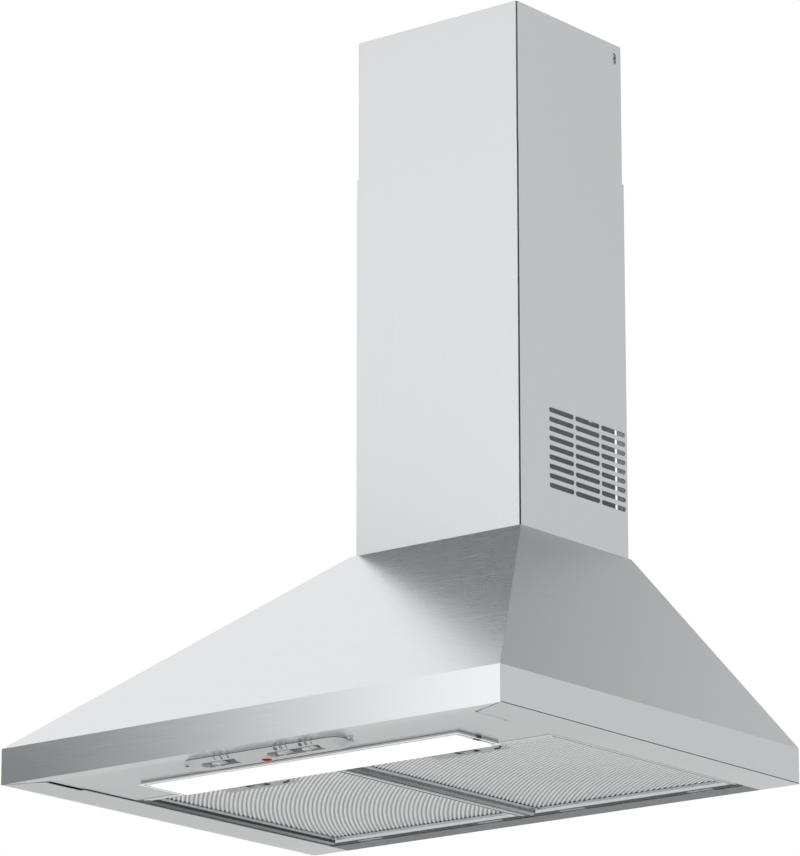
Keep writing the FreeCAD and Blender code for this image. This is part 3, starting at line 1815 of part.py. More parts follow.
def lamp_reflector():
    # Bright sheet that closes the frame from above.
    body = new_body("lamp_reflector")
    wall = size.sheet
    pad(body, "XY_Plane", [in_aperture(-size.tray_margin - wall, size.tray_corner + wall)],
        wall, lift=panel_top + size.lamp_box_height - wall)


lamp_z = panel_top + size.lamp_box_height / 2
lamp_wall_x = tray_half - size.seat_gap


def lamp_holder(label, side):
    seat = lamp_wall_x - size.holder_foot
    mouth = lamp_wall_x - size.holder_length
    radius = size.holder_radius
    slim = radius - size.holder_step
    socket = radius - size.holder_wall
    body = turned(label, [
        (side * lamp_wall_x, 0),
        (side * lamp_wall_x, slim),
        (side * (seat + size.holder_step), slim),
        (side * seat, radius),
        (side * mouth, radius),
        (side * mouth, socket),
        (side * seat, socket),
        (side * seat, 0),
    ])
    move(body, 0, lens_y, lamp_z)


def lamp_bulb(label, side):
    # A candle lamp: screw base in the holder, glass that swells and then tapers to its tip.
    base = lamp_wall_x - size.holder_foot - past
    glass = lamp_wall_x - size.holder_length - past
    tip = base - size.bulb_length
    radius = size.bulb_radius
    neck = size.holder_radius - size.holder_wall - size.bulb_play
    swell = (glass - tip) / 4
    body = turned(label, [
        (side * base, 0),
        (side * base, neck * 0.65),
        (side * (base - size.holder_wall), neck),
        (side * glass, neck),
        (side * (glass - swell), radius * 0.9),
        (side * (glass - swell * 2), radius),
        (side * (glass - swell * 3), radius * 0.75),
        (side * (tip + swell / 2), radius / 5),
        (side * tip, 0),
    ])
    move(body, 0, lens_y, lamp_z)


def build():
    canopy_front()
    canopy_back()
    canopy_deck()
    deck_screws()
    lower_chimney_cover()
    upper_chimney_cover()
    chimney_wall_bracket()
    outlet_collar()
    damper_pin()
    near = size.knuckle_near
    far = size.knuckle_far
    damper_flap("damper_flap_front", -1, [near, -far - size.knuckle_length])
    damper_flap("damper_flap_rear", 1, [far, -near - size.knuckle_length])
    cable_gland()
    blower_scroll()
    blower_cover()
    blower_screws()
    impeller()
    motor_shaft()
    motor_body()
    motor_bracket()
    motor_mounts()
    motor_screws()
    capacitor()
    capacitor_clip()
    wiring_box()
    wiring_box_lid()
    terminal_block()
    for hand, side in (("left", -1), ("right", 1)):
        canopy_side(f"canopy_side_{hand}", side)
        cover_bracket(f"cover_bracket_{hand}", side)
        filter_frame(f"filter_frame_{hand}", side)
        filter_mesh(f"filter_mesh_{hand}", side)
        latch_plate(f"latch_plate_{hand}", side)
        filter_latch(f"filter_latch_{hand}", side)
        lamp_holder(f"lamp_holder_{hand}", side)
        lamp_bulb(f"lamp_bulb_{hand}", side)
    control_pod()
    switch_carrier()
    for name, rest, travel in controls:
        slider_knob(name, rest)
        slide_switch(name, rest, travel)
    pilot_lens()
    control_screws()
    lamp_cover()
    lamp_clip()
    lamp_housing()
    lamp_reflector()


def check():
    faults = []
    for item in document.Objects:
        if {"Invalid", "Error"} & set(item.State):
            faults.append(f"{item.Name}: {item.State}")
    for label, item in nodes.items():
        shape = item.Shape
        if shape.isNull() or not shape.isValid() or not shape.Solids:
            faults.append(f"{label}: no valid solid")
    if faults:
        raise RuntimeError("\n".join(faults))


def export():
    os.makedirs("parts", exist_ok=True)
    for label, item in nodes.items():
        item.Shape.exportStep(f"parts/{label}.step")
        print(label, len(item.Shape.Solids), round(item.Shape.Volume, 1))


build()
document.recompute()
check()
export()
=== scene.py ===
import bpy
import json
import math
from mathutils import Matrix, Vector


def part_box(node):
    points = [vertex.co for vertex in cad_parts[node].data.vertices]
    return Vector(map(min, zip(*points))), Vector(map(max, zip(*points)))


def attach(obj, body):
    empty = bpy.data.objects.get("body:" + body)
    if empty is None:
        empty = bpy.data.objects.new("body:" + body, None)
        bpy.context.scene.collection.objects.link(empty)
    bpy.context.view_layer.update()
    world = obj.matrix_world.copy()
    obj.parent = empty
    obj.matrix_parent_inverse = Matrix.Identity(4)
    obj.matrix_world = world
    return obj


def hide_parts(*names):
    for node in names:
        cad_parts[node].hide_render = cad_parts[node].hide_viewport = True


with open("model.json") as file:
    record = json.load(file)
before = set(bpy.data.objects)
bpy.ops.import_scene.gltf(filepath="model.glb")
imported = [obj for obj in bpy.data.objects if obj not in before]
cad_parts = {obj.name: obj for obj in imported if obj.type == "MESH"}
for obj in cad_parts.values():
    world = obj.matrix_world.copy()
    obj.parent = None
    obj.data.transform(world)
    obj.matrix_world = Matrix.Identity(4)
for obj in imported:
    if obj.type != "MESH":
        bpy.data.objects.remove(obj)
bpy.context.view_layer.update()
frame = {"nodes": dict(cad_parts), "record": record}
bpy.ops.object.select_all(action="DESELECT")
mm = 0.001
bodyOf = {
    node: body
    for body, members in frame["record"]["behaviour"]["bodies"].items()
    for node in members
}
slotOf = {part["node"]: part["material_slot"] for part in frame["record"]["subparts"]}
print("frame loaded:", len(frame["nodes"]), "nodes")

# Finishes: every one is colour, roughness and relief from noise on Object coordinates


def newFinish(name, look):
    # grain is how many noise cells there are per metre along X, Y and Z
    material = bpy.data.materials.new(name)
    material.use_nodes = True
    nodes = material.node_tree.nodes
    links = material.node_tree.links
    shader = nodes["Principled BSDF"]
    coords = nodes.new("ShaderNodeTexCoord")
    spread = nodes.new("ShaderNodeMapping")
    spread.inputs["Scale"].default_value = look["grain"]
    links.new(coords.outputs["Object"], spread.inputs["Vector"])
    noise = nodes.new("ShaderNodeTexNoise")
    noise.inputs["Scale"].default_value = 1
    noise.inputs["Detail"].default_value = look.get("detail", 3)
    noise.inputs["Roughness"].default_value = 0.55
    links.new(spread.outputs["Vector"], noise.inputs["Vector"])
    colour = look["colour"]
    shift = look.get("shift", 0.04)
    ramp = nodes.new("ShaderNodeValToRGB")
    ramp.color_ramp.elements[0].position = 0.3
    ramp.color_ramp.elements[1].position = 0.7
    ramp.color_ramp.elements[0].color = [max(c * (1 - shift), 0) for c in colour] + [1]
    ramp.color_ramp.elements[1].color = [min(c * (1 + shift), 1) for c in colour] + [1]
    links.new(noise.outputs["Fac"], ramp.inputs["Fac"])
    if "groove_shade_share" in look:
        # painted shade: the piece's own painted_crest_light attribute darkens the grooves
        # between ripples and lightens their crests, for most of the tone; noise sets the rest
        painted_crest_light = nodes.new("ShaderNodeAttribute")
        painted_crest_light.attribute_name = "painted_crest_light"
        speckle = nodes.new("ShaderNodeMath")
        speckle.operation = "MULTIPLY"
        speckle.inputs[1].default_value = 1 - look["groove_shade_share"]
        shade = nodes.new("ShaderNodeMath")
        shade.operation = "MULTIPLY_ADD"
        shade.inputs[1].default_value = look["groove_shade_share"]
        links.new(noise.outputs["Fac"], speckle.inputs[0])
        links.new(painted_crest_light.outputs["Fac"], shade.inputs[0])
        links.new(speckle.outputs[0], shade.inputs[2])
        links.new(shade.outputs[0], ramp.inputs["Fac"])
    links.new(ramp.outputs["Color"], shader.inputs["Base Color"])
    rough = nodes.new("ShaderNodeMapRange")
    rough.inputs["To Min"].default_value = look["rough"][0]
    rough.inputs["To Max"].default_value = look["rough"][1]
    links.new(noise.outputs["Fac"], rough.inputs["Value"])
    links.new(rough.outputs["Result"], shader.inputs["Roughness"])
    bump = nodes.new("ShaderNodeBump")
    bump.inputs["Strength"].default_value = look.get("relief", 0.1)
    bump.inputs["Distance"].default_value = look.get("depth", 0.05) * mm
    links.new(noise.outputs["Fac"], bump.inputs["Height"])
    links.new(bump.outputs["Normal"], shader.inputs["Normal"])
    shader.inputs["Metallic"].default_value = look.get("metal", 0)
    for socket, value in look.get("sockets", {}).items():
        shader.inputs[socket].default_value = value
    return material


steelLook = {"colour": (0.74, 0.75, 0.76), "metal": 1, "rough": (0.2, 0.26), "relief": 0.06,
             "depth": 0.02, "shift": 0.012, "detail": 2}
finishes = {
    "canopy_steel": newFinish("satinSteelAcross", {**steelLook, "grain": (14, 900, 900)}),
    "slope_steel": newFinish("satinSteelSlope", {
        **steelLook, "grain": (14, 900, 900), "rough": (0.24, 0.29)}),
    "side_steel": newFinish("satinSteelDeep", {**steelLook, "grain": (900, 14, 900)}),
    "side_slope_steel": newFinish("satinSteelSideSlope", {
        **steelLook, "grain": (900, 14, 900), "rough": (0.26, 0.32)}),
    "chimney_steel": newFinish("satinSteelUpright", {**steelLook, "grain": (900, 900, 14)}),
    "zinc_plate": newFinish("zincSpangle", {
        "colour": (0.52, 0.54, 0.56), "metal": 0.9, "grain": (90, 90, 90), "rough": (0.38, 0.55),
        "shift": 0.12, "relief": 0.1}),
    "zinc_screw": newFinish("zincPlatedScrew", {
        "colour": (0.6, 0.6, 0.62), "metal": 1, "grain": (900, 900, 900), "rough": (0.25, 0.4)}),
    "shaft_steel": newFinish("groundSteel", {
        "colour": (0.55, 0.55, 0.57), "metal": 1, "grain": (1500, 60, 60), "rough": (0.2, 0.3)}),
    "black_plastic": newFinish("blackMoulding", {
        "colour": (0.03, 0.03, 0.032), "grain": (1600, 1600, 1600), "rough": (0.45, 0.6),
        "relief": 0.2}),
    "grey_plastic": newFinish("greyMoulding", {
        "colour": (0.17, 0.18, 0.19), "grain": (1400, 1400, 1400), "rough": (0.4, 0.55),
        "relief": 0.15}),
    "white_plastic": newFinish("whiteMoulding", {
        "colour": (0.72, 0.72, 0.69), "grain": (1400, 1400, 1400), "rough": (0.4, 0.5)}),
    "pod_plastic": newFinish("silverGreyMoulding", {
        "colour": (0.5, 0.505, 0.51), "grain": (1500, 1500, 1500), "rough": (0.26, 0.36),
        "relief": 0.1}),
    "knob_plastic": newFinish("paleKnobMoulding", {
        "colour": (0.68, 0.685, 0.69), "metal": 0.6, "grain": (1500, 1500, 1500),
        "rough": (0.18, 0.26), "relief": 0.05}),
    # painted shade for the slots round the knobs
    "painted_slot_shade": newFinish("paintedSlotShade", {
        "colour": (0.28, 0.285, 0.29), "metal": 0.3, "grain": (1500, 1500, 1500),
        "rough": (0.4, 0.5)}),
    "latch_plastic": newFinish("latchMoulding", {
        "colour": (0.46, 0.465, 0.47), "grain": (1500, 1500, 1500), "rough": (0.35, 0.45),
        "metal": 0.3}),
    "red_lens": newFinish("redLens", {
        "colour": (0.34, 0.008, 0.01), "grain": (700, 700, 700), "rough": (0.08, 0.14),
        "relief": 0.05, "sockets": {"Emission Color": (0.8, 0.02, 0.02, 1),
                                    "Emission Strength": 0.03}}),
    "lamp_diffuser": newFinish("opalDiffuser", {
        "colour": (0.93, 0.94, 0.945), "grain": (500, 500, 500), "rough": (0.35, 0.45),
        "relief": 0.05, "shift": 0.01,
        "sockets": {"Emission Color": (1, 1, 1, 1), "Emission Strength": 0.32}}),
    "bulb_glass": newFinish("frostedBulb", {
        "colour": (0.9, 0.9, 0.88), "grain": (800, 800, 800), "rough": (0.3, 0.4),
        "sockets": {"Transmission Weight": 0.4}}),
    "lamp_rim": newFinish("paleGreyRim", {
        "colour": (0.5, 0.51, 0.52), "grain": (600, 600, 600), "rough": (0.15, 0.25),
        "relief": 0.05, "shift": 0.02}),
    # painted highlight: the cover's ridges glow so they read as bright edges
    "lamp_ridge_painted_highlight": newFinish("paintedRidgeHighlight", {
        "colour": (0.86, 0.87, 0.875), "grain": (600, 600, 600), "rough": (0.15, 0.25),
        "relief": 0.05, "shift": 0.02,
        "sockets": {"Emission Color": (1, 1, 1, 1), "Emission Strength": 0.16}}),
    # painted shade for the groove between the cover's ridges
    "lamp_groove_painted_shade": newFinish("paintedGrooveShade", {
        "colour": (0.2, 0.205, 0.21), "grain": (600, 600, 600), "rough": (0.3, 0.4)}),
    "mark_ink": newFinish("darkInk", {
        "colour": (0.03, 0.03, 0.035), "grain": (1500, 1500, 1500), "rough": (0.5, 0.6)}),
    "reflector": newFinish("whiteEnamel", {
        "colour": (0.86, 0.86, 0.85), "grain": (300, 300, 300), "rough": (0.25, 0.35)}),
    "motor_metal": newFinish("darkLacquer", {
        "colour": (0.09, 0.095, 0.1), "metal": 0.6, "grain": (500, 500, 500),
        "rough": (0.4, 0.6), "relief": 0.3}),
    "rubber": newFinish("mountRubber", {
        "colour": (0.025, 0.025, 0.025), "grain": (1800, 1800, 1800), "rough": (0.7, 0.85),
        "relief": 0.3}),
    "filter_aluminium": newFinish("pressedAluminium", {
        "colour": (0.62, 0.635, 0.645), "metal": 1, "grain": (300, 300, 300),
        "rough": (0.16, 0.24), "shift": 0.04, "relief": 0.05}),
    "latch_plate": newFinish("satinAluminium", {
        "colour": (0.74, 0.75, 0.755), "metal": 1, "grain": (400, 400, 400),
        "rough": (0.28, 0.36), "shift": 0.03, "relief": 0.05}),
    # painted shade: this finish darkens the mesh's grooves and lightens its crests through the
    # painted_crest_light attribute
    "mesh_aluminium": newFinish("knittedAluminium", {
        "colour": (0.74, 0.75, 0.755), "metal": 0.35, "grain": (900, 900, 900),
        "rough": (0.4, 0.55), "shift": 0.32, "groove_shade_share": 0.8, "relief": 0.3, "depth": 0.15,
        "detail": 2}),
}


def refinished(piece, finish):
    piece.data.materials.clear()
    piece.data.materials.append(finishes[finish])


for node, item in frame["nodes"].items():
    refinished(item, "side_steel" if node.startswith("canopy_side") else slotOf[node])
print("finishes made:", len(finishes))


def onlySelect(piece):
    bpy.ops.object.select_all(action="DESELECT")
    piece.select_set(True)
    bpy.context.view_layer.objects.active = piece


def applied(piece, kind, **settings):
    modifier = piece.modifiers.new(kind.title(), kind)
    for name, value in settings.items():
        setattr(modifier, name, value)
    onlySelect(piece)
    bpy.ops.object.modifier_apply(modifier=modifier.name)


def joined(pieces):
    # the first piece takes in the others
    bpy.ops.object.select_all(action="DESELECT")
    for piece in pieces:
        piece.select_set(True)
    bpy.context.view_layer.objects.active = pieces[0]
    bpy.ops.object.join()
    return pieces[0]


def boxAt(place, sizes, turn=0):
    # a box in metres, turned about Z, that a piece starts from
    bpy.ops.mesh.primitive_cube_add(size=1, location=place, rotation=(0, 0, turn))
    piece = bpy.context.active_object
    piece.scale = sizes
    bpy.ops.object.transform_apply(location=True, rotation=True, scale=True)
    return piece


def placed(piece, name, node, slot, replaced=True):
    # name, finish and body of a piece that belongs with a CAD node
    onlySelect(piece)
    bpy.ops.object.transform_apply(location=True, rotation=True, scale=True)
    piece.name = name
    piece.data.name = name
    refinished(piece, slot)
    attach(piece, bodyOf[node])
    if replaced:
        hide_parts(node)
    return piece


edgeLook = {"merge": 0.005, "flat": 0.6, "rounded": 25, "smooth": 32}


def softEdged(node, width, segments=2, slot=None):
    # a copy of the CAD node whose folds and corners are rounded
    item = frame["nodes"][node]
    piece = item.copy()
    piece.data = item.data.copy()
    for key in list(piece.keys()):
        del piece[key]
    piece.parent = None
    bpy.context.scene.collection.objects.link(piece)
    onlySelect(piece)
    bpy.ops.object.mode_set(mode="EDIT")
    bpy.ops.mesh.select_all(action="SELECT")
    bpy.ops.mesh.remove_doubles(threshold=edgeLook["merge"] * mm)
    bpy.ops.mesh.dissolve_limited(angle_limit=math.radians(edgeLook["flat"]))
    bpy.ops.object.mode_set(mode="OBJECT")
    applied(piece, "BEVEL", width=width * mm, segments=segments, limit_method="ANGLE",
            angle_limit=math.radians(edgeLook["rounded"]), use_clamp_overlap=True,
            harden_normals=False)
    bpy.ops.object.shade_smooth_by_angle(angle=math.radians(edgeLook["smooth"]))
    applied(piece, "WEIGHTED_NORMAL", mode="FACE_AREA", weight=100, keep_sharp=True)
    return placed(piece, "soft_" + node, node, slot or slotOf[node])


foldRadii = {
    "canopy_front": 0.5, "canopy_side_left": 0.5, "canopy_side_right": 0.5,
    "lower_chimney_cover": 0.25, "upper_chimney_cover": 0.25,
    "latch_plate_left": 0.4, "latch_plate_right": 0.4,
    "filter_latch_left": 0.5, "filter_latch_right": 0.5,
}
foldFinishes = {
    "canopy_side_left": "side_steel", "canopy_side_right": "side_steel",
    "latch_plate_left": "latch_plate", "latch_plate_right": "latch_plate",
}
for node, radius in foldRadii.items():
    softEdged(node, radius, slot=foldFinishes.get(node))
mouldings = {
    "control_pod": 1.0, "speed_slider": 0.6, "fan_slider": 0.6, "lamp_slider": 0.6,
    "lamp_clip": 0.2, "wiring_box": 0.6, "wiring_box_lid": 0.5, "terminal_block": 0.4,
    "outlet_collar": 0.5,
}
for node, radius in mouldings.items():
    softEdged(node, radius, segments=3)

# faces that lean take the finishes of the slopes
slopeLook = {"steepest": 0.3, "flattest": 0.95, "finishes": {
    "front": "slope_steel", "side_left": "side_slope_steel", "side_right": "side_slope_steel"}}
for name, finish in slopeLook["finishes"].items():
    slope = bpy.data.objects["soft_canopy_" + name]
    slope.data.materials.append(finishes[finish])
    for face in slope.data.polygons:
        if slopeLook["steepest"] < face.normal.z < slopeLook["flattest"]:
            face.material_index = 1

# painted shade: the latches' rounded copies are black, standing for the shade inside their
# pockets
for side in ("left", "right"):
    refinished(bpy.data.objects["soft_filter_latch_" + side], "black_plastic")
for name in ("speed", "fan", "lamp"):
    refinished(bpy.data.objects["soft_" + name + "_slider"], "knob_plastic")

# painted shade: the knobs' slots in the pod are painted darker; X ranges, then the Y and Z that
# all three share
podLook = {"slots": ((-70, -30), (9, 42), (43, 76)), "rows": (-439.7, -428.3),
           "depths": (-5.1, 0.7)}
pod = bpy.data.objects["soft_control_pod"]
pod.data.materials.append(finishes["painted_slot_shade"])
for face in pod.data.polygons:
    spot = face.center / mm
    inSlot = any(start < spot.x < end for start, end in podLook["slots"])
    inRow = podLook["rows"][0] < spot.y < podLook["rows"][1]
    if inSlot and inRow and podLook["depths"][0] < spot.z < podLook["depths"][1]:
        face.material_index = 1
print("folds and mouldings rounded")


# Grease filters: a rim of inward slopes round a rippled pack of knitted aluminium

# slopes are each tooth's width and rise, from the outer edge inwards
rimLook = {"outer": 1.2, "slopes": [(5.4, 0.7), (3.9, 0.5), (3.2, 4.2)], "step": 0.35,
           "top": 4.6, "meet": 5.6, "meetStep": 0.05, "wall": 0.2, "facetAngle": 5,
           "shell": 4.7, "shellRound": 0.2, "rearGap": 1.5, "edge": 0.01}
tabLook = {"width": 30, "spread": 76, "reach": 9, "length": 14, "beyond": 3.5, "low": 1.1,
           "thickness": 1.2, "round": 0.4}


def ringPlane(low, high, level):
    # a flat sheet, left in edit mode with all of it selected
    bpy.ops.mesh.primitive_plane_add(size=1, location=(
        (low.x + high.x) / 2, (low.y + high.y) / 2, level))
    piece = bpy.context.active_object
    piece.scale = (high.x - low.x, high.y - low.y, 1)
    bpy.ops.object.transform_apply(location=True, rotation=True, scale=True)
    bpy.ops.object.mode_set(mode="EDIT")
    bpy.ops.mesh.select_all(action="SELECT")
    return piece


def stepIn(width, rise):
    bpy.ops.mesh.inset(thickness=width * mm, depth=0)
    bpy.ops.transform.translate(value=(0, 0, rise * mm))


def filterRim(side):
    # each tooth slopes up towards the mesh, then drops back to the outer level
    node = "filter_frame_" + side
    low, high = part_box(node)
    look = rimLook
    rear = high.y - (tabLook["reach"] + look["rearGap"]) * mm
    piece = ringPlane(low, Vector((high.x, rear, 0)), look["outer"] * mm)
    for width, rise in look["slopes"][:-1]:
        stepIn(width, rise)
        stepIn(look["step"], -rise)
    width, rise = look["slopes"][-1]
    stepIn(width, rise)
    stepIn(look["meetStep"], look["meet"] - look["outer"] - rise)
    bpy.ops.mesh.delete(type="FACE")
    bpy.ops.mesh.select_all(action="SELECT")
    bpy.ops.mesh.normals_make_consistent(inside=False)
    bpy.ops.object.mode_set(mode="OBJECT")
    # the outer edges rise into the rim's side walls
    near = look["edge"] * mm
    for v in piece.data.vertices:
        v.select = (v.co.x < low.x + near or v.co.x > high.x - near
                    or v.co.y < low.y + near or v.co.y > rear - near)
    for e in piece.data.edges:
        e.select = all(piece.data.vertices[i].select for i in e.vertices)
    for f in piece.data.polygons:
        f.select = False
    bpy.ops.object.mode_set(mode="EDIT")
    bpy.ops.mesh.select_mode(type="EDGE")
    bpy.ops.mesh.extrude_region_move(TRANSFORM_OT_translate={
        "value": (0, 0, (look["top"] - look["outer"]) * mm)})
    bpy.ops.mesh.select_mode(type="VERT")
    bpy.ops.mesh.select_all(action="SELECT")
    bpy.ops.mesh.normals_make_consistent(inside=False)
    bpy.ops.object.mode_set(mode="OBJECT")
    applied(piece, "SOLIDIFY", thickness=look["wall"] * mm, offset=-1)
    piece = joined([piece, *rearTabs((low.x + high.x) / 2, rear)])
    bpy.ops.object.shade_smooth_by_angle(angle=math.radians(look["facetAngle"]))
    # the rest of the frame is the CAD one without its flat lower flange
    shell = softEdged(node, look["shellRound"], segments=1)
    points = shell.data.vertices
    for face in shell.data.polygons:
        face.select = max(points[i].co.z for i in face.vertices) < look["shell"] * mm
    for edge in shell.data.edges:
        edge.select = False
    for point in points:
        point.select = False
    bpy.ops.object.mode_set(mode="EDIT")
    bpy.ops.mesh.select_mode(type="FACE")
    bpy.ops.mesh.delete(type="FACE")
    bpy.ops.mesh.select_mode(type="VERT")
    bpy.ops.object.mode_set(mode="OBJECT")
    placed(joined([shell, piece]), "toothed_" + node, node, "filter_aluminium")


def rearTabs(middle, rear):
    tabs = []
    for sign in (1, -1):
        place = Vector((sign * tabLook["spread"], tabLook["beyond"],
                        tabLook["low"] + tabLook["thickness"] / 2)) * mm
        tab = boxAt(Vector((middle, rear, 0)) + place, (
            tabLook["width"] * mm, tabLook["length"] * mm, tabLook["thickness"] * mm))
        applied(tab, "BEVEL", width=tabLook["round"] * mm, segments=2)
        tabs.append(tab)
    return tabs


rippleLook = {"pitch": 4.31, "height": 0.75, "centre": (502, 380), "perRipple": 6,
              "arcStep": 3.2, "clear": 0.1}


def rippledSheet(side):
    node = "filter_mesh_" + side
    look = rippleLook
    low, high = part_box(node)
    plateLow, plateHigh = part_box("latch_plate_" + side)
    centre = Vector(look["centre"]) * mm
    pitch = look["pitch"] * mm
    swing = look["height"] * mm
    corners = [Vector((x, y)) for x in (low.x, high.x) for y in (low.y, high.y)]
    reach = [(corner - centre).length for corner in corners]
    turns = [math.atan2(corner.y - centre.y, corner.x - centre.x) % (2 * math.pi)
             for corner in corners]
    rows = round((max(reach) - min(reach)) / pitch * look["perRipple"])
    arcs = round((max(turns) - min(turns)) * max(reach) / (look["arcStep"] * mm))
    bpy.ops.mesh.primitive_grid_add(x_subdivisions=rows, y_subdivisions=arcs, size=1)
    piece = bpy.context.active_object
    level = low.z + swing + look["clear"] * mm
    # painted shade: painted_crest_light is 1 on the crests nearest below and 0 in the grooves,
    # which the finish paints darker
    painted_crest_light = piece.data.attributes.new("painted_crest_light", "FLOAT", "POINT")
    for point, shade in zip(piece.data.vertices, painted_crest_light.data):
        radius = min(reach) + (point.co.x + 0.5) * (max(reach) - min(reach))
        turn = min(turns) + (point.co.y + 0.5) * (max(turns) - min(turns))
        wave = math.cos(2 * math.pi * radius / pitch)
        shade.value = 0.5 - wave / 2
        point.co = (centre.x + radius * math.cos(turn), centre.y + radius * math.sin(turn),
                    level + swing * wave)
    onlySelect(piece)
    bpy.ops.object.mode_set(mode="EDIT")
    for place, normal in ((low, (1, 0, 0)), (low, (0, 1, 0)), (high, (-1, 0, 0)),
                          (high, (0, -1, 0))):
        bpy.ops.mesh.select_all(action="SELECT")
        bpy.ops.mesh.bisect(plane_co=place, plane_no=normal, clear_inner=True)
    for place, normal in ((plateLow, (1, 0, 0)), (plateHigh, (1, 0, 0)), (plateHigh, (0, 1, 0))):
        bpy.ops.mesh.select_all(action="SELECT")
        bpy.ops.mesh.bisect(plane_co=place, plane_no=normal)
    bpy.ops.mesh.select_all(action="DESELECT")
    bpy.ops.object.mode_set(mode="OBJECT")
    for face in piece.data.polygons:
        spot = face.center
        face.select = plateLow.x < spot.x < plateHigh.x and spot.y < plateHigh.y
    bpy.ops.object.mode_set(mode="EDIT")
    bpy.ops.mesh.delete(type="FACE")
    bpy.ops.mesh.select_all(action="SELECT")
    bpy.ops.mesh.normals_make_consistent(inside=False)
    bpy.ops.object.mode_set(mode="OBJECT")
    if sum(face.normal.z for face in piece.data.polygons) > 0:
        piece.data.flip_normals()
    bpy.ops.object.shade_smooth_by_angle(angle=math.radians(70))
    return placed(piece, "rippled_" + node, node, "mesh_aluminium")


for side in ("left", "right"):
    filterRim(side)
    rippledSheet(side)
print("filters dressed")


# Filter pulls: a dished paddle in each pocket and the end of its wire spring

pullLook = {"width": 15, "depth": 9, "thick": 2, "corner": 2.6, "rim": 1.1, "dishSlope": 0.7,
            "dish": 0.9, "round": 0.35, "level": 4.9, "aside": 3.4}
wireLook = {"radius": 0.75, "arc": 9, "reach": 49, "rear": 17, "level": 2.6,
            "cuts": ((1, 0.25, 0), (-0.35, 1, 0))}


def paddle(side):
    node = "filter_latch_" + side
    low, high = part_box(node)
    look = pullLook
    piece = boxAt(
        ((low.x + high.x) / 2 + look["aside"] * mm, high.y - look["depth"] / 2 * mm,
         (look["level"] + look["thick"] / 2) * mm),
        (look["width"] * mm, look["depth"] * mm, look["thick"] * mm))
    for edge in piece.data.edges:
        ends = [piece.data.vertices[i].co for i in edge.vertices]
        edge.select = abs(ends[0].z - ends[1].z) > 0.1 * mm
    bpy.ops.object.mode_set(mode="EDIT")
    bpy.ops.mesh.select_mode(type="EDGE")
    bpy.ops.mesh.bevel(offset=look["corner"] * mm, segments=6)
    bpy.ops.mesh.select_all(action="DESELECT")
    bpy.ops.object.mode_set(mode="OBJECT")
    for face in piece.data.polygons:
        face.select = face.normal.z < -0.9
    bpy.ops.object.mode_set(mode="EDIT")
    bpy.ops.mesh.select_mode(type="FACE")
    bpy.ops.mesh.inset(thickness=look["rim"] * mm, depth=0)
    bpy.ops.mesh.inset(thickness=look["dishSlope"] * mm, depth=-look["dish"] * mm)
    bpy.ops.mesh.select_mode(type="VERT")
    bpy.ops.object.mode_set(mode="OBJECT")
    applied(piece, "BEVEL", width=look["round"] * mm, segments=2, limit_method="ANGLE",
            angle_limit=math.radians(30))
    bpy.ops.object.shade_smooth_by_angle(angle=math.radians(40))
    placed(piece, "paddle_" + node, node, "latch_plastic", replaced=False)


def springWire(side):
    # quarter turn of spring wire beside the plate's end
    plate = "latch_plate_" + side
    low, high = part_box("filter_latch_" + side)
    look = wireLook
    bpy.ops.mesh.primitive_torus_add(major_radius=look["arc"] * mm,
                                     minor_radius=look["radius"] * mm,
                                     major_segments=40, minor_segments=10)
    wire = bpy.context.active_object
    onlySelect(wire)
    bpy.ops.object.mode_set(mode="EDIT")
    for cutAcross in look["cuts"]:
        bpy.ops.mesh.select_all(action="SELECT")
        bpy.ops.mesh.bisect(plane_co=(0, 0, 0), plane_no=cutAcross, clear_inner=True,
                            use_fill=True)
    bpy.ops.object.mode_set(mode="OBJECT")
    wire.location = ((low.x + high.x) / 2 + (look["reach"] - look["arc"]) * mm,
                     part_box(plate)[0].y + (look["rear"] - look["arc"]) * mm,
                     look["level"] * mm)
    bpy.ops.object.shade_smooth_by_angle(angle=math.radians(50))
    placed(wire, "spring_wire_" + side, plate, "black_plastic", replaced=False)


for side in ("left", "right"):
    paddle(side)
    springWire(side)
print("pulls made")


# Lamp cover: a grey rim with two ridges round the raised opal lens; the ridges glow as painted
# highlights and the groove between them is painted shade

coverLook = {"half": 192, "front": -392.5, "rear": -330.2, "flange": -0.8, "lensInset": 7.6,
             "lensRear": 1.0, "lensDrop": 1.66, "round": 1.2, "ringRound": 0.3}
# each ring: name, inset from the cover's edge, width, drop and finish
coverRings = (
    ("outer_ridge", 0, 1.1, 0.75, "lamp_ridge_painted_highlight"),
    # painted shade: the groove ring is a dark, nearly flat band
    ("groove_shade_band", 3.9, 0.8, 0.05, "lamp_groove_painted_shade"),
    ("inner_ridge", 4.9, 2.5, 0.55, "lamp_ridge_painted_highlight"),
)


def coverRing(name, inset, width, drop, finish):
    look = coverLook
    piece = ringPlane(
        Vector((-look["half"] + inset, look["front"] + inset, 0)) * mm,
        Vector((look["half"] - inset, look["rear"] - inset, 0)) * mm, look["flange"] * mm)
    bpy.ops.mesh.inset(thickness=width * mm, depth=0)
    bpy.ops.mesh.delete(type="FACE")
    bpy.ops.mesh.select_all(action="SELECT")
    bpy.ops.mesh.extrude_region_move(TRANSFORM_OT_translate={"value": (0, 0, -drop * mm)})
    bpy.ops.mesh.select_all(action="SELECT")
    bpy.ops.mesh.normals_make_consistent(inside=False)
    bpy.ops.object.mode_set(mode="OBJECT")
    applied(piece, "BEVEL", width=min(width, drop) * look["ringRound"] * mm, segments=3,
            limit_method="ANGLE", angle_limit=math.radians(40))
    bpy.ops.object.shade_smooth_by_angle(angle=math.radians(50))
    placed(piece, "lamp_" + name, "lamp_cover", finish, replaced=False)


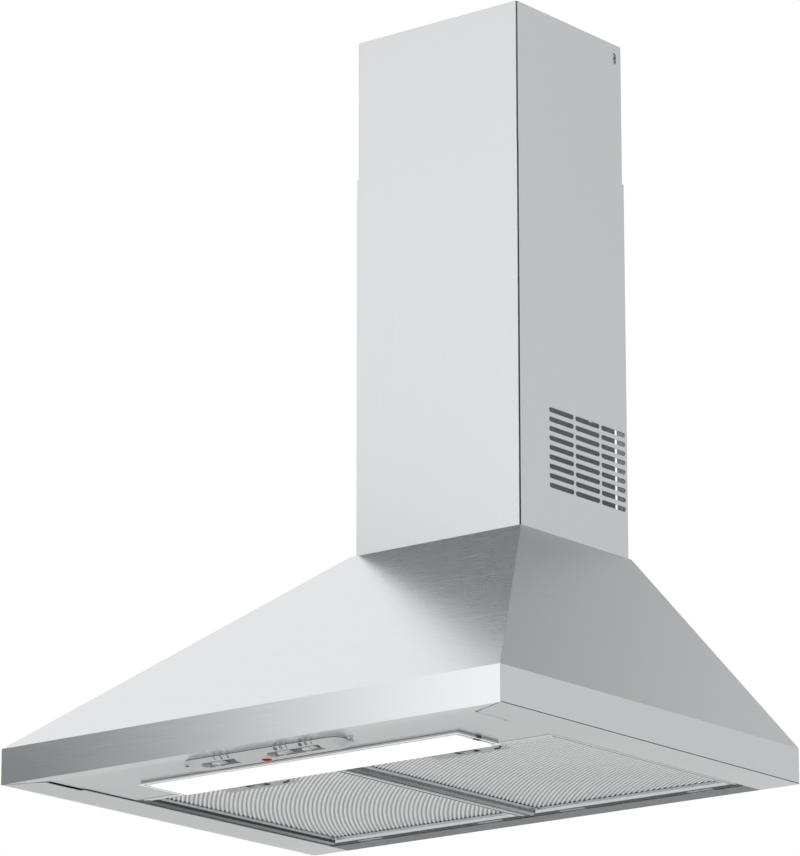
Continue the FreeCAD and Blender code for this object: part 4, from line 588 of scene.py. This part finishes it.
def opalLens():
    look = coverLook
    inset = look["lensInset"]
    lens = ringPlane(
        Vector((-look["half"] + inset, look["front"] + inset, 0)) * mm,
        Vector((look["half"] - inset, look["rear"] - look["lensRear"], 0)) * mm,
        look["flange"] * mm)
    bpy.ops.mesh.extrude_region_move(TRANSFORM_OT_translate={
        "value": (0, 0, -look["lensDrop"] * mm)})
    bpy.ops.mesh.select_all(action="SELECT")
    bpy.ops.mesh.normals_make_consistent(inside=False)
    bpy.ops.object.mode_set(mode="OBJECT")
    applied(lens, "BEVEL", width=look["round"] * mm, segments=5, limit_method="ANGLE",
            angle_limit=math.radians(40), use_clamp_overlap=True)
    bpy.ops.object.shade_smooth_by_angle(angle=math.radians(50))
    placed(lens, "opal_lens", "lamp_cover", "lamp_diffuser", replaced=False)


for ring in coverRings:
    coverRing(*ring)
opalLens()
refinished(frame["nodes"]["lamp_cover"], "lamp_rim")
print("lamp cover made")


# Controls: round-nosed grips and the printed marks

knobLook = {"ball": (3.2, 3.6, 2.2), "ballIn": 3.3, "ballLevel": -4.4}


def knobGrip(name):
    node = name + "_slider"
    low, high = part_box(node)
    bpy.ops.mesh.primitive_uv_sphere_add(segments=28, ring_count=16, radius=1, location=(
        low.x + knobLook["ballIn"] * mm, (low.y + high.y) / 2, knobLook["ballLevel"] * mm))
    ball = bpy.context.active_object
    ball.scale = [c * mm for c in knobLook["ball"]]
    bpy.ops.object.transform_apply(location=True, rotation=True, scale=True)
    bpy.ops.object.shade_smooth()
    placed(ball, "grip_" + node, node, "knob_plastic", replaced=False)


for name in ("speed", "fan", "lamp"):
    knobGrip(name)


# place is the marks' Y and Z, and each figure or symbol has its own X
markLook = {"height": 5.8, "depth": 0.06, "bold": 0.1, "slope": 41, "place": (-441.9, -1.05),
            "figures": (("1", -55.4), ("2", -47.5), ("3", -39.5), ("0", 24.5), ("1", 31.2),
                        ("0", 54), ("1", 60.7))}
symbolLook = {"places": (("fan", 17.8), ("lamp", 47.3)), "ring": 1.7, "stroke": 0.4,
              "flat": 0.3, "barWidth": 0.8, "barHeight": 0.24,
              "fan": {"turns": (0, 120, 240), "length": 0.5, "out": 0.45},
              "lamp": {"turns": (45, 135), "length": 2.4, "out": 0}}


def onPodSlope(piece, x):
    # stand the flat mark on the pod's steep front, readable from below
    piece.rotation_euler = (math.radians(180 - markLook["slope"]), 0, 0)
    piece.location = (x * mm, markLook["place"][0] * mm, markLook["place"][1] * mm)
    bpy.ops.object.transform_apply(location=True, rotation=True, scale=True)
    return piece


def printedFigure(text, x):
    bpy.ops.object.text_add()
    item = bpy.context.active_object
    item.data.body = text
    item.data.size = markLook["height"] * mm
    item.data.align_x = "CENTER"
    item.data.align_y = "CENTER"
    item.data.extrude = markLook["depth"] * mm
    item.data.offset = markLook["bold"] * mm
    bpy.ops.object.convert(target="MESH")
    return onPodSlope(item, x)


def printedSymbol(kind, x):
    # a ring with three blades for the fan, or with crossed strokes for the lamp
    look = symbolLook
    radius = look["ring"] * mm
    bpy.ops.mesh.primitive_torus_add(major_radius=radius, minor_radius=look["stroke"] * mm,
                                     major_segments=28, minor_segments=6)
    ring = bpy.context.active_object
    ring.scale = (1, 1, look["flat"])
    bpy.ops.object.transform_apply(scale=True)
    parts = [ring]
    for degrees in look[kind]["turns"]:
        turn = math.radians(degrees)
        out = look[kind]["out"] * radius
        parts.append(boxAt(
            (out * math.cos(turn), out * math.sin(turn), 0),
            (look[kind]["length"] * radius, look["barWidth"] * mm, look["barHeight"] * mm),
            turn))
    return onPodSlope(joined(parts), x)


figures = [printedFigure(text, x) for text, x in markLook["figures"]]
placed(joined(figures), "printed_figures", "control_pod", "mark_ink", replaced=False)
symbols = [printedSymbol(kind, x) for kind, x in symbolLook["places"]]
placed(joined(symbols), "printed_symbols", "control_pod", "mark_ink", replaced=False)
print("controls dressed")


# Screw heads: a black cross painted as the shade in each cross recess

crossLook = {"arm": 2.6, "wide": 0.7, "deep": 0.35, "turns": (20, 110),
             "places": {"left": -100, "right": 96}}


def crossRecess(side):
    look = crossLook
    low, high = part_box("control_screws")
    place = (look["places"][side] * mm, (low.y + high.y) / 2, low.z)
    bars = [
        boxAt(place, (look["arm"] * mm, look["wide"] * mm, look["deep"] * mm),
              math.radians(turn))
        for turn in look["turns"]
    ]
    placed(joined(bars), "control_screw_cross_shade_" + side, "control_screws", "black_plastic",
           replaced=False)


for side in ("left", "right"):
    crossRecess(side)


# Seams: black strips painted as the shade in the folded corners of the front and in the bend
# along each side flange

seamLook = {"corner": ((297.6, -469.2), (258, -448.6)), "wide": 0.7, "deep": 0.1,
            "level": -0.03, "rise": 0.8}
hemLook = {"low": 0.4, "tall": 0.7, "thick": 0.04, "short": 2}


def cornerSeam(side):
    sign = 1 if side == "right" else -1
    (x1, y1), (x2, y2) = seamLook["corner"]
    start = Vector((sign * x1, y1)) * mm
    end = Vector((sign * x2, y2)) * mm
    run = end - start
    middle = (start + end) / 2
    # a black strip painted as the shade in the corner's mitre seam
    piece = boxAt(
        (middle.x, middle.y, seamLook["level"] * mm),
        (run.length, seamLook["wide"] * mm, seamLook["deep"] * mm), math.atan2(run.y, run.x))
    bpy.ops.object.mode_set(mode="EDIT")
    bpy.ops.mesh.select_all(action="SELECT")
    bpy.ops.mesh.subdivide(number_cuts=4)
    bpy.ops.object.mode_set(mode="OBJECT")
    for point in piece.data.vertices:
        along = min(max((point.co.xy - start).length / run.length, 0), 1)
        point.co.z += seamLook["rise"] * mm * along
    placed(piece, "corner_seam_painted_shade_" + side, "canopy_front", "black_plastic", replaced=False)


def hemGap(side):
    # a black strip painted as the shade in the narrow gap of the hem along the side's lower edge
    low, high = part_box("canopy_side_" + side)
    look = hemLook
    inwards = -look["thick"] / 2 * mm
    middle = high.x + inwards if side == "right" else low.x - inwards
    piece = boxAt(
        (middle, (low.y + high.y) / 2, (look["low"] + look["tall"] / 2) * mm),
        (look["thick"] * mm, high.y - low.y - look["short"] * mm, look["tall"] * mm))
    bpy.ops.object.mode_set(mode="EDIT")
    bpy.ops.mesh.select_all(action="SELECT")
    bpy.ops.mesh.subdivide(number_cuts=3)
    bpy.ops.object.mode_set(mode="OBJECT")
    placed(piece, "hem_gap_painted_shade_" + side, "canopy_side_" + side, "black_plastic", replaced=False)


for side in ("left", "right"):
    cornerSeam(side)
    hemGap(side)
print("screws and seams marked")


# Camera, at the photograph's own viewing angle

cameraLook = {"place": (2.829, -3.798, -0.910), "azimuth": 38.45, "elevation": 15.51,
              "lens": 204.3}
bpy.ops.object.camera_add(location=cameraLook["place"], rotation=(
    math.radians(90 + cameraLook["elevation"]), 0, math.radians(cameraLook["azimuth"])))
camera = bpy.context.active_object
camera.data.lens = cameraLook["lens"]
camera.data.clip_end = 60
bpy.context.scene.camera = camera
bpy.context.scene.view_settings.view_transform = "Standard"


# White surroundings, a pale floor, soft lamps and grey reflectors that only gloss sees

worldLook = {"onObject": 0.75, "seen": 1}
world = bpy.data.worlds.new("studio")
bpy.context.scene.world = world
world.use_nodes = True
worldNodes = world.node_tree.nodes
worldLinks = world.node_tree.links
paths = worldNodes.new("ShaderNodeLightPath")
seen = worldNodes.new("ShaderNodeMath")
seen.operation = "MAXIMUM"
worldLinks.new(paths.outputs["Is Camera Ray"], seen.inputs[0])
worldLinks.new(paths.outputs["Is Glossy Ray"], seen.inputs[1])
seenThrough = worldNodes.new("ShaderNodeMath")
seenThrough.operation = "MAXIMUM"
worldLinks.new(seen.outputs[0], seenThrough.inputs[0])
worldLinks.new(paths.outputs["Is Transmission Ray"], seenThrough.inputs[1])
level = worldNodes.new("ShaderNodeMapRange")
level.inputs["To Min"].default_value = worldLook["onObject"]
level.inputs["To Max"].default_value = worldLook["seen"]
worldLinks.new(seenThrough.outputs[0], level.inputs["Value"])
background = worldNodes["Background"]
background.inputs["Color"].default_value = (1, 1, 1, 1)
worldLinks.new(level.outputs["Result"], background.inputs["Strength"])

floorLook = {"level": -1.6, "size": 24, "colour": (0.92, 0.92, 0.92)}
bpy.ops.mesh.primitive_plane_add(size=floorLook["size"], location=(0, 0, floorLook["level"]))
floor = bpy.context.active_object
floor.name = "floor"
floor.data.materials.append(newFinish("paleFloor", {
    "colour": floorLook["colour"], "grain": (3, 3, 3), "rough": (0.7, 0.8), "shift": 0.01}))
floor.visible_glossy = False


def reflector(name, centre, spread, axis, levels):
    # a card that only glossy rays see, with its greys along one of its own axes
    flat = spread.index(0)
    turn = {0: (0, math.radians(90), 0), 1: (math.radians(90), 0, 0), 2: (0, 0, 0)}[flat]
    bpy.ops.mesh.primitive_plane_add(size=1, rotation=turn)
    card = bpy.context.active_object
    bpy.ops.object.transform_apply(location=True, rotation=True, scale=True)
    card.scale = [length or 1 for length in spread]
    bpy.ops.object.transform_apply(location=True, rotation=True, scale=True)
    card.location = centre
    card.name = name
    card.visible_camera = False
    card.visible_diffuse = False
    card.visible_shadow = False
    card.visible_transmission = False
    paper = bpy.data.materials.new(name + "Paper")
    paper.use_nodes = True
    nodes = paper.node_tree.nodes
    links = paper.node_tree.links
    nodes.remove(nodes["Principled BSDF"])
    coords = nodes.new("ShaderNodeTexCoord")
    parts = nodes.new("ShaderNodeSeparateXYZ")
    along = nodes.new("ShaderNodeMapRange")
    ramp = nodes.new("ShaderNodeValToRGB")
    glow = nodes.new("ShaderNodeEmission")
    along.inputs["From Min"].default_value = -spread[axis] / 2
    along.inputs["From Max"].default_value = spread[axis] / 2
    while len(ramp.color_ramp.elements) < len(levels):
        ramp.color_ramp.elements.new(0.5)
    # all positions come before the greys, because a ramp sorts its stops
    for stop, (place, grey) in zip(ramp.color_ramp.elements, levels):
        stop.position = place
    for stop, (place, grey) in zip(ramp.color_ramp.elements, levels):
        stop.color = (grey, grey, grey, 1)
    links.new(coords.outputs["Object"], parts.inputs["Vector"])
    links.new(parts.outputs[axis], along.inputs["Value"])
    links.new(along.outputs["Result"], ramp.inputs["Fac"])
    links.new(ramp.outputs["Color"], glow.inputs["Color"])
    links.new(glow.outputs[0], nodes["Material Output"].inputs["Surface"])
    card.data.materials.append(paper)


# each reflector: centre, size along X, Y and Z in metres, then its grey levels along an axis
reflector("lowFrontLeft", (-2.05, -2.3, 0.05), (2.7, 0, 1.5), 0,
          [(0, 0.06), (0.5, 0.08), (0.62, 0.16), (0.69, 0.65), (0.79, 1.18), (0.86, 1.4),
           (1, 1.4)])
reflector("highFrontLeft", (-2.9, -2.3, 4.1), (4.6, 0, 3.5), 0, [(0, 0.05), (1, 0.05)])
reflector("frontRight", (2.1, -2.3, 1.0), (3.0, 0, 3.2), 0, [(0, 0.2), (0.15, 0.02), (1, 0.02)])
reflector("farRight", (3.4, -0.8, 1.0), (0, 3.0, 3.2), 1, [(0, 0.02), (0.7, 0.02), (1, 0.4)])
reflector("highBack", (-0.15, 1.2, 1.7), (1.85, 0, 3.5), 2,
          [(0, 0.62), (0.28, 0.62), (0.4, 0.42), (0.5, 0.28), (1, 0.24)])
reflector("rightBack", (1.78, 1.2, 0.7), (2.0, 0, 2.4), 0, [(0, 0.7), (1, 0.7)])
reflector("lowBack", (-1.3, 1.2, -0.3), (3.6, 0, 0.52), 2, [(0, 0.8), (1, 0.74)])
reflector("darkFloor", (-1.4, 1.4, -1.55), (5.2, 4.2, 0), 0, [(0, 0.03), (1, 0.03)])


def lamp(name, place, aim, size, power):
    bpy.ops.object.light_add(type="AREA", location=place)
    light = bpy.context.active_object
    light.name = name
    light.data.size = size
    light.data.energy = power
    light.visible_glossy = False
    light.visible_camera = False
    turn = (Vector(aim) - Vector(place)).to_track_quat("-Z", "Y")
    light.rotation_euler = turn.to_euler()


lamp("keyLamp", (-2.2, -3.0, 1.6), (0, -0.2, 0.3), 2.2, 45)
lamp("lowLamp", (0.6, -2.2, -1.3), (0, -0.3, 0), 1.6, 14)
print("camera, lamps and surroundings set")
